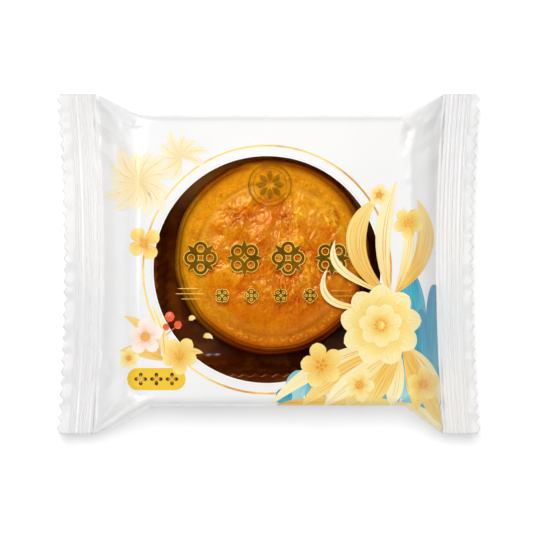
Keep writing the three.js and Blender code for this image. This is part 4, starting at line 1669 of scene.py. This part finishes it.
# %% Fine lines in the split skin, pale partly by their colour and partly as painted highlight
turned = add_node(
    tree, "ShaderNodeMapping",
    {"Vector": place, "Rotation": (0, 0, math.radians(-34)), "Scale": (0.5, 1.0, 1.0)},
).outputs[0]
flake_lines = noise_value(tree, turned, 420.0, 4.0, 0.6, 1.2, kind="RIDGED_MULTIFRACTAL")
flake_lines = calculate(tree, "MULTIPLY", flake_lines, kept_amount(tree, "flaked"))
# the pale colour on the ridge lines is partly the split skin's own colour and partly painted
# highlight
split = map_range(tree, flake_lines, 0.35, 0.9, high=0.55, smooth=True)
crust = blend(tree, split, crust, ink(246, 182, 44))
print("crust with lines:", len(tree.nodes), "nodes")

# %% [markdown]
# Close up, a crust is grainy: flour, sugar and egg wash dry unevenly. Two noises multiply the
# colour, one blotchy and one as fine as the pores. They darken and lighten by equal shares, so
# the colour set above stays as it is on the whole.

# %% Mottling and pores
# scale, detail, where the dark tone lies, the dark tone, the pale tone, strength
GRAINS = (
    (300.0, 8.0, 0.34, (0.62, 0.50, 0.40, 1), (1.22, 1.25, 1.2, 1), 0.45),
    (1500.0, 3.0, 0.36, (0.66, 0.56, 0.45, 1), (1.3, 1.35, 1.4, 1), 0.35),
)
grains = []
for scale, detail, darkest, dark, pale, strength in GRAINS:
    grains.append(noise_value(tree, place, scale, detail, 0.7))
    tones = [(darkest, dark), (0.50, (1, 1, 1, 1)), (0.66, pale)]
    tone = colour_steps(tree, grains[-1], tones)
    crust = blend(tree, strength, crust, tone, kind="MULTIPLY")
print("crust with grain:", len(tree.nodes), "nodes")

# %% Dark pores and painted glints on the rim, and painted shade in the folds
FOLD_SHADE = 1.8  # how dark a fold of one millimetre is; 1 is the full dark colour
rimmed = kept_amount(tree, "rimmed")
# scale, where the spots start and are full, strength, colour
# first the dark pores, then pale specks that are painted glints on the rim
for scale, start, end, strength, colour in (
    (1100.0, 0.56, 0.66, 0.5, (172, 84, 6)),
    (1200.0, 0.52, 0.62, 0.35, (250, 180, 50)),
):
    spots = use_group(tree, blotches, place, Scale=scale, From=start, To=end)
    spots = calculate(tree, "MULTIPLY", spots, calculate(tree, "MULTIPLY", rimmed, strength))
    crust = blend(tree, spots, crust, ink(*colour))
# painted shade in the folds and the groove, where less light falls
dark = calculate(tree, "MULTIPLY", kept_amount(tree, "folded"), FOLD_SHADE, clamp=True)
crust = blend(tree, dark, crust, ink(96, 38, 1))
print("crust with its rim:", len(tree.nodes), "nodes")

# %% [markdown]
# The puffed middle was brushed with egg, so it shines, and the slope round it is duller. The
# same noises that colour the skin also dent it a little: a highlight then breaks up into
# points, which tells the eye that the surface is baked and not plastic.

# %% Gloss and skin
CRUST_DENTS = 0.00016  # metres that a height of 1 stands for on the crust
mottled, pores = grains
skin = calculate(tree, "MULTIPLY", mottled, 0.35)
for dents, share in ((pores, 0.38), (flake_lines, 0.9)):
    skin = calculate(tree, "ADD", skin, calculate(tree, "MULTIPLY", dents, share))
set_inputs(tree, shader, {
    "Base Color": crust,
    "Roughness": map_range(tree, ring_place, 0.66, 0.76, 0.17, 0.7),
    "Specular IOR Level": 0.36,
    "Specular Tint": (1.0, 0.76, 0.30, 1.0),
    "Normal": bump(tree, skin, CRUST_DENTS),
})
mooncake.data.materials.append(baked_crust)
print("crust:", len(tree.nodes), "nodes")

# %% [markdown]
# ### Inks
# The inks lie behind the same clear face as the white, so they share its gloss. An image would
# hold a whole print, but it blurs when seen near. Flat inks drift between two close colours,
# and petals and leaves fade from heart to tip along their own UV map, with fine streaks as a
# brush would leave.


# %% The film's gloss over an ink
def film_gloss(tree, shader, place):
    set_inputs(tree, shader, {
        "Roughness": FILM_ROUGHNESS,
        "Specular IOR Level": 0.3,
        "Coat Weight": 0.5,
        "Coat Roughness": COAT_ROUGHNESS,
        "Normal": film_normal(tree, place),
    })


print("inks that need a finish:", len(inks))


# %% Two kinds of ink
def flat_ink(name, colour, second, scale):
    """Two close colours that drift into each other across the piece."""
    finish, tree, shader = new_finish(name)
    place = object_place(tree)
    drift = use_group(tree, blotches, place, Scale=scale, From=0.42, To=0.6)
    set_inputs(tree, shader, {"Base Color": colour})  # shown where no nodes are read
    set_inputs(tree, shader, {"Base Color": blend(tree, drift, colour, second)})
    film_gloss(tree, shader, place)
    return finish


def brushed_ink(name, steps, streak, strength):
    """Colours along the shape with brushed streaks over them."""
    finish, tree, shader = new_finish(name)
    place = object_place(tree)
    own = add_node(tree, "ShaderNodeUVMap", uv_map="UVMap").outputs["UV"]
    along_shape = add_node(tree, "ShaderNodeSeparateXYZ", {"Vector": own}).outputs["X"]
    shift = vector_maths(tree, "MULTIPLY", place, (60.0, 60.0, 0.0))
    pulled = vector_maths(tree, "MULTIPLY_ADD", own, (2.0, 16.0, 1.0), shift)
    brush = use_group(tree, blotches, pulled, Scale=1.0, From=0.45, To=0.62)
    share = calculate(tree, "MULTIPLY", brush, strength)
    shade = blend(tree, share, colour_steps(tree, along_shape, steps), streak)
    set_inputs(tree, shader, {"Base Color": shade})
    film_gloss(tree, shader, place)
    return finish


print("materials before the inks:", len(bpy.data.materials))

# %% Flat inks
# the two colours that the ink drifts between, and how fine the drift is
FLAT = {
    "gold_ink": ((214, 152, 34), (250, 216, 124), 55.0),
    "gold_edge": ((228, 178, 52), (238, 196, 78), 120.0),
    "gold_lines": ((214, 150, 40), (240, 196, 96), 90.0),
    "pale_lines": ((238, 204, 136), (240, 222, 180), 90.0),
    "white_rim": ((246, 246, 244), (242, 242, 240), 60.0),
    "label_yellow": ((228, 180, 24), (234, 190, 40), 60.0),
    "label_brown": ((54, 34, 3), (66, 44, 6), 200.0),
    "orange_ink": ((230, 150, 30), (236, 168, 52), 200.0),
    "coral_ink": ((226, 84, 50), (242, 140, 92), 260.0),
}
ink_finishes = {
    name: flat_ink(name, ink(*colour), ink(*second), scale)
    for name, (colour, second, scale) in FLAT.items()
}
print("flat inks:", len(ink_finishes))

# %% Brushed inks
# the colours at the heart, half way and at the tip, where half way is, the streaks' colour
# and how strong they are
BRUSHED = {
    "pale_yellow": ((240, 214, 160), (242, 228, 190), (238, 232, 214), 0.5, (240, 212, 154), 0.5),
    "cream_petals": ((232, 176, 70), (240, 214, 130), (243, 232, 180), 0.35, (238, 200, 108), 0.4),
    "yellow_petals": ((226, 150, 36), (236, 190, 84), (242, 220, 138), 0.4, (240, 226, 150), 0.4),
    "blush_petals": ((236, 150, 110), (242, 214, 196), (242, 234, 228), 0.3, (240, 206, 190), 0.3),
    "golden_leaf": ((224, 164, 50), (234, 186, 80), (238, 212, 130), 0.5, (240, 222, 150), 0.6),
    "cream_leaf": ((238, 204, 120), (240, 228, 178), (242, 232, 190), 0.5, (238, 206, 120), 0.45),
    "teal": ((150, 200, 204), (66, 164, 184), (44, 154, 180), 0.5, (116, 192, 202), 0.5),
    "deep_teal": ((96, 180, 192), (14, 140, 172), (2, 130, 168), 0.6, (80, 172, 192), 0.5),
    "light_teal": ((180, 212, 206), (120, 186, 196), (104, 178, 194), 0.6, (160, 206, 208), 0.5),
}
for name, (heart, half_way, tip, middle, streak, strength) in BRUSHED.items():
    steps = [(0.0, ink(*heart)), (middle, ink(*half_way)), (1.0, ink(*tip))]
    ink_finishes[name] = brushed_ink(name, steps, ink(*streak), strength)
print("inks with the brushed ones:", len(ink_finishes))

# %% [markdown]
# The ornaments on the window are printed in clear ink: the cake shows through it a little.
# Alpha on the Principled shader is enough for that, because a film of ink bends no light.

# %% Clear brown inks over the window
for name, alpha in (("clear_brown", 0.88), ("faint_brown", 0.55)):
    finish, tree, shader = new_finish(name + "_ink")
    drift = use_group(tree, blotches, object_place(tree), Scale=90.0, From=0.42, To=0.6)
    set_inputs(tree, shader, {
        "Base Color": blend(tree, drift, ink(98, 66, 0), ink(128, 88, 4)),
        "Alpha": alpha,
        "Roughness": 0.25,
        "Specular IOR Level": 0.1,
    })
    ink_finishes[name] = finish
print("inks with the clear ones:", len(ink_finishes))

# %% Give each piece of print its ink
for name, piece in prints.items():
    piece.data.materials.append(ink_finishes[name])
    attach(piece, "root")
print("inks:", len(prints))

# %% [markdown]
# ## Tie the pieces to the frame
# The solids are what the part weighs and touches, the pieces made here are what is seen. Each
# piece rides on the part's one body, and the solids are hidden, so nothing is seen twice.

# %% Tie the pieces to the frame
MAIN_PIECES = (
    (film_front, "printed_film"),
    (film_back, "printed_film"),
    (window_film, "clear_film"),
    (tray, "tray_plastic"),
    (mooncake, "baked_crust"),
)
for piece, slot in MAIN_PIECES:
    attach(piece, "root")
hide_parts("wrapper")
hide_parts("wrapper")
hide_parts("window")
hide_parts("tray")
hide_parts("mooncake")
print("pieces:", len(prints) + len(MAIN_PIECES))

# %% [markdown]
# ## The studio
# The sachet lies on a pale sheet that reaches past the edge of the picture, so that no horizon
# shows. The sheet glows a very little itself, which keeps it white without a lamp so strong
# that the film would burn out.

# %% Floor
FLOOR_RADIUS = 6.0
FLOOR_GAP = 0.00005  # keeps the floor from lying in the sachet's own lowest plane
bm = bmesh.new()
bmesh.ops.create_circle(bm, cap_ends=True, segments=96, radius=FLOOR_RADIUS)
floor_mesh = store(bm, bpy.data.meshes.new("floor"))
floor = place_object("floor", floor_mesh, smooth=False)
floor.location.z = -FLOOR_GAP
floor_finish, tree, shader = new_finish("pale_floor")
set_inputs(tree, shader, {
    "Base Color": ink(247, 247, 247),
    "Roughness": 0.9,
    "Specular IOR Level": 0.0,
    "Emission Color": (1, 1, 1, 1),
    "Emission Strength": 0.20,
})
floor_mesh.materials.append(floor_finish)
print("floor:", len(floor_mesh.polygons), "face")

# %% [markdown]
# The light is soft and comes from above and a little behind, as in a light tent. A big softbox
# makes the shadows soft, but it would also lie in the glossy film as one wide white patch. So
# the lamps that light don't show in reflections, and two more only show there: one for the
# sheen on the film and one for the glints on the crust.

# %% The room's own light
world = bpy.data.worlds.new("studio")
bpy.context.scene.world = world
world.use_nodes = True
background = world.node_tree.nodes["Background"]
set_inputs(world.node_tree, background, {"Color": (1, 1, 1, 1), "Strength": 0.09})
print("the room:", world.name)


# %% Softboxes
def softbox(name, place, width, height, power, lights, mirrored):
    """A lamp with a flat square face, turned to the sachet's middle."""
    lamp = bpy.data.lights.new(name, "AREA")
    lamp.shape = "RECTANGLE"
    lamp.size = width
    lamp.size_y = height
    lamp.energy = power
    thing = bpy.data.objects.new(name, lamp)
    bpy.context.scene.collection.objects.link(thing)
    thing.location = place
    thing.rotation_mode = "QUATERNION"
    direction = Vector((0, 0, 0)) - Vector(place)
    thing.rotation_quaternion = direction.to_track_quat("-Z", "Y")
    thing.visible_diffuse = lights
    thing.visible_glossy = mirrored
    return thing


# name, place, width, height, power, whether it lights, whether it is mirrored
LAMPS = (
    ("overhead", (0.0, 0.19, 1.0), 0.6, 0.5, 6.9, True, False),
    ("key", (-0.05, 0.27, 0.52), 0.16, 0.08, 0.85, True, False),
    ("sheen", (-0.46, 0.25, 0.66), 0.5, 0.34, 2.7, False, True),
    ("glint", (-0.16, 0.30, 0.80), 0.24, 0.13, 3.5, False, True),
    ("left side", (-1.30, 0.0, 0.42), 1.2, 0.25, 4.1, True, False),
    ("right side", (1.30, 0.0, 0.42), 1.2, 0.25, 2.7, True, False),
    ("front side", (0.0, -1.20, 0.95), 1.4, 0.6, 4.6, True, False),
)
lamps = {row[0]: softbox(*row) for row in LAMPS}
print("lamps:", [lamp.name for lamp in bpy.data.lights])

# %% [markdown]
# The crust is seen through the film, but the lamp that suits one spoils the other. Light
# linking settles it: a lamp is given a collection, and only the pieces in it mirror that lamp.


# %% Which pieces the two mirrored lamps reach
def reaches_only(lamp, name, pieces):
    """Light linking: the lamp is mirrored in these pieces and in no others."""
    group = bpy.data.collections.new(name)
    for piece in pieces:
        group.objects.link(piece)
    lamp.light_linking.receiver_collection = group


films = [film_front, film_back, window_film, *prints.values()]
reaches_only(lamps["glint"], "mirrors_glint", [mooncake, tray])
reaches_only(lamps["sheen"], "mirrors_sheen", films)
print("pieces that mirror the sheen lamp:", len(films))

# %% [markdown]
# ## The camera
# The sachet is seen from straight above and from far off, as in a catalogue. A long lens at a
# good height draws hardly any perspective, so the window stays round over the whole picture.

# %% Camera
CAMERA_HEIGHT = 2.5
SCALE_HEIGHT = 0.015  # the height at which the picture's scale holds
SENSOR_WIDTH = 36.0
PICTURE_WIDTH = 533  # pixels
PIXEL_SIZE = 0.27  # how many millimetres of the sachet one pixel shows
camera_data = bpy.data.cameras.new("camera")
camera = bpy.data.objects.new("camera", camera_data)
bpy.context.scene.collection.objects.link(camera)
camera_data.sensor_width = SENSOR_WIDTH
camera_data.lens = (
    SENSOR_WIDTH * (CAMERA_HEIGHT - SCALE_HEIGHT) / (PICTURE_WIDTH * PIXEL_SIZE * MM)
)
camera_data.clip_start = 0.1
camera_data.clip_end = 20.0
camera.location = (-0.54 * MM, -0.675 * MM, CAMERA_HEIGHT)
bpy.context.scene.camera = camera
bpy.context.scene.view_settings.view_transform = "Standard"
print("lens:", round(camera_data.lens), "mm")
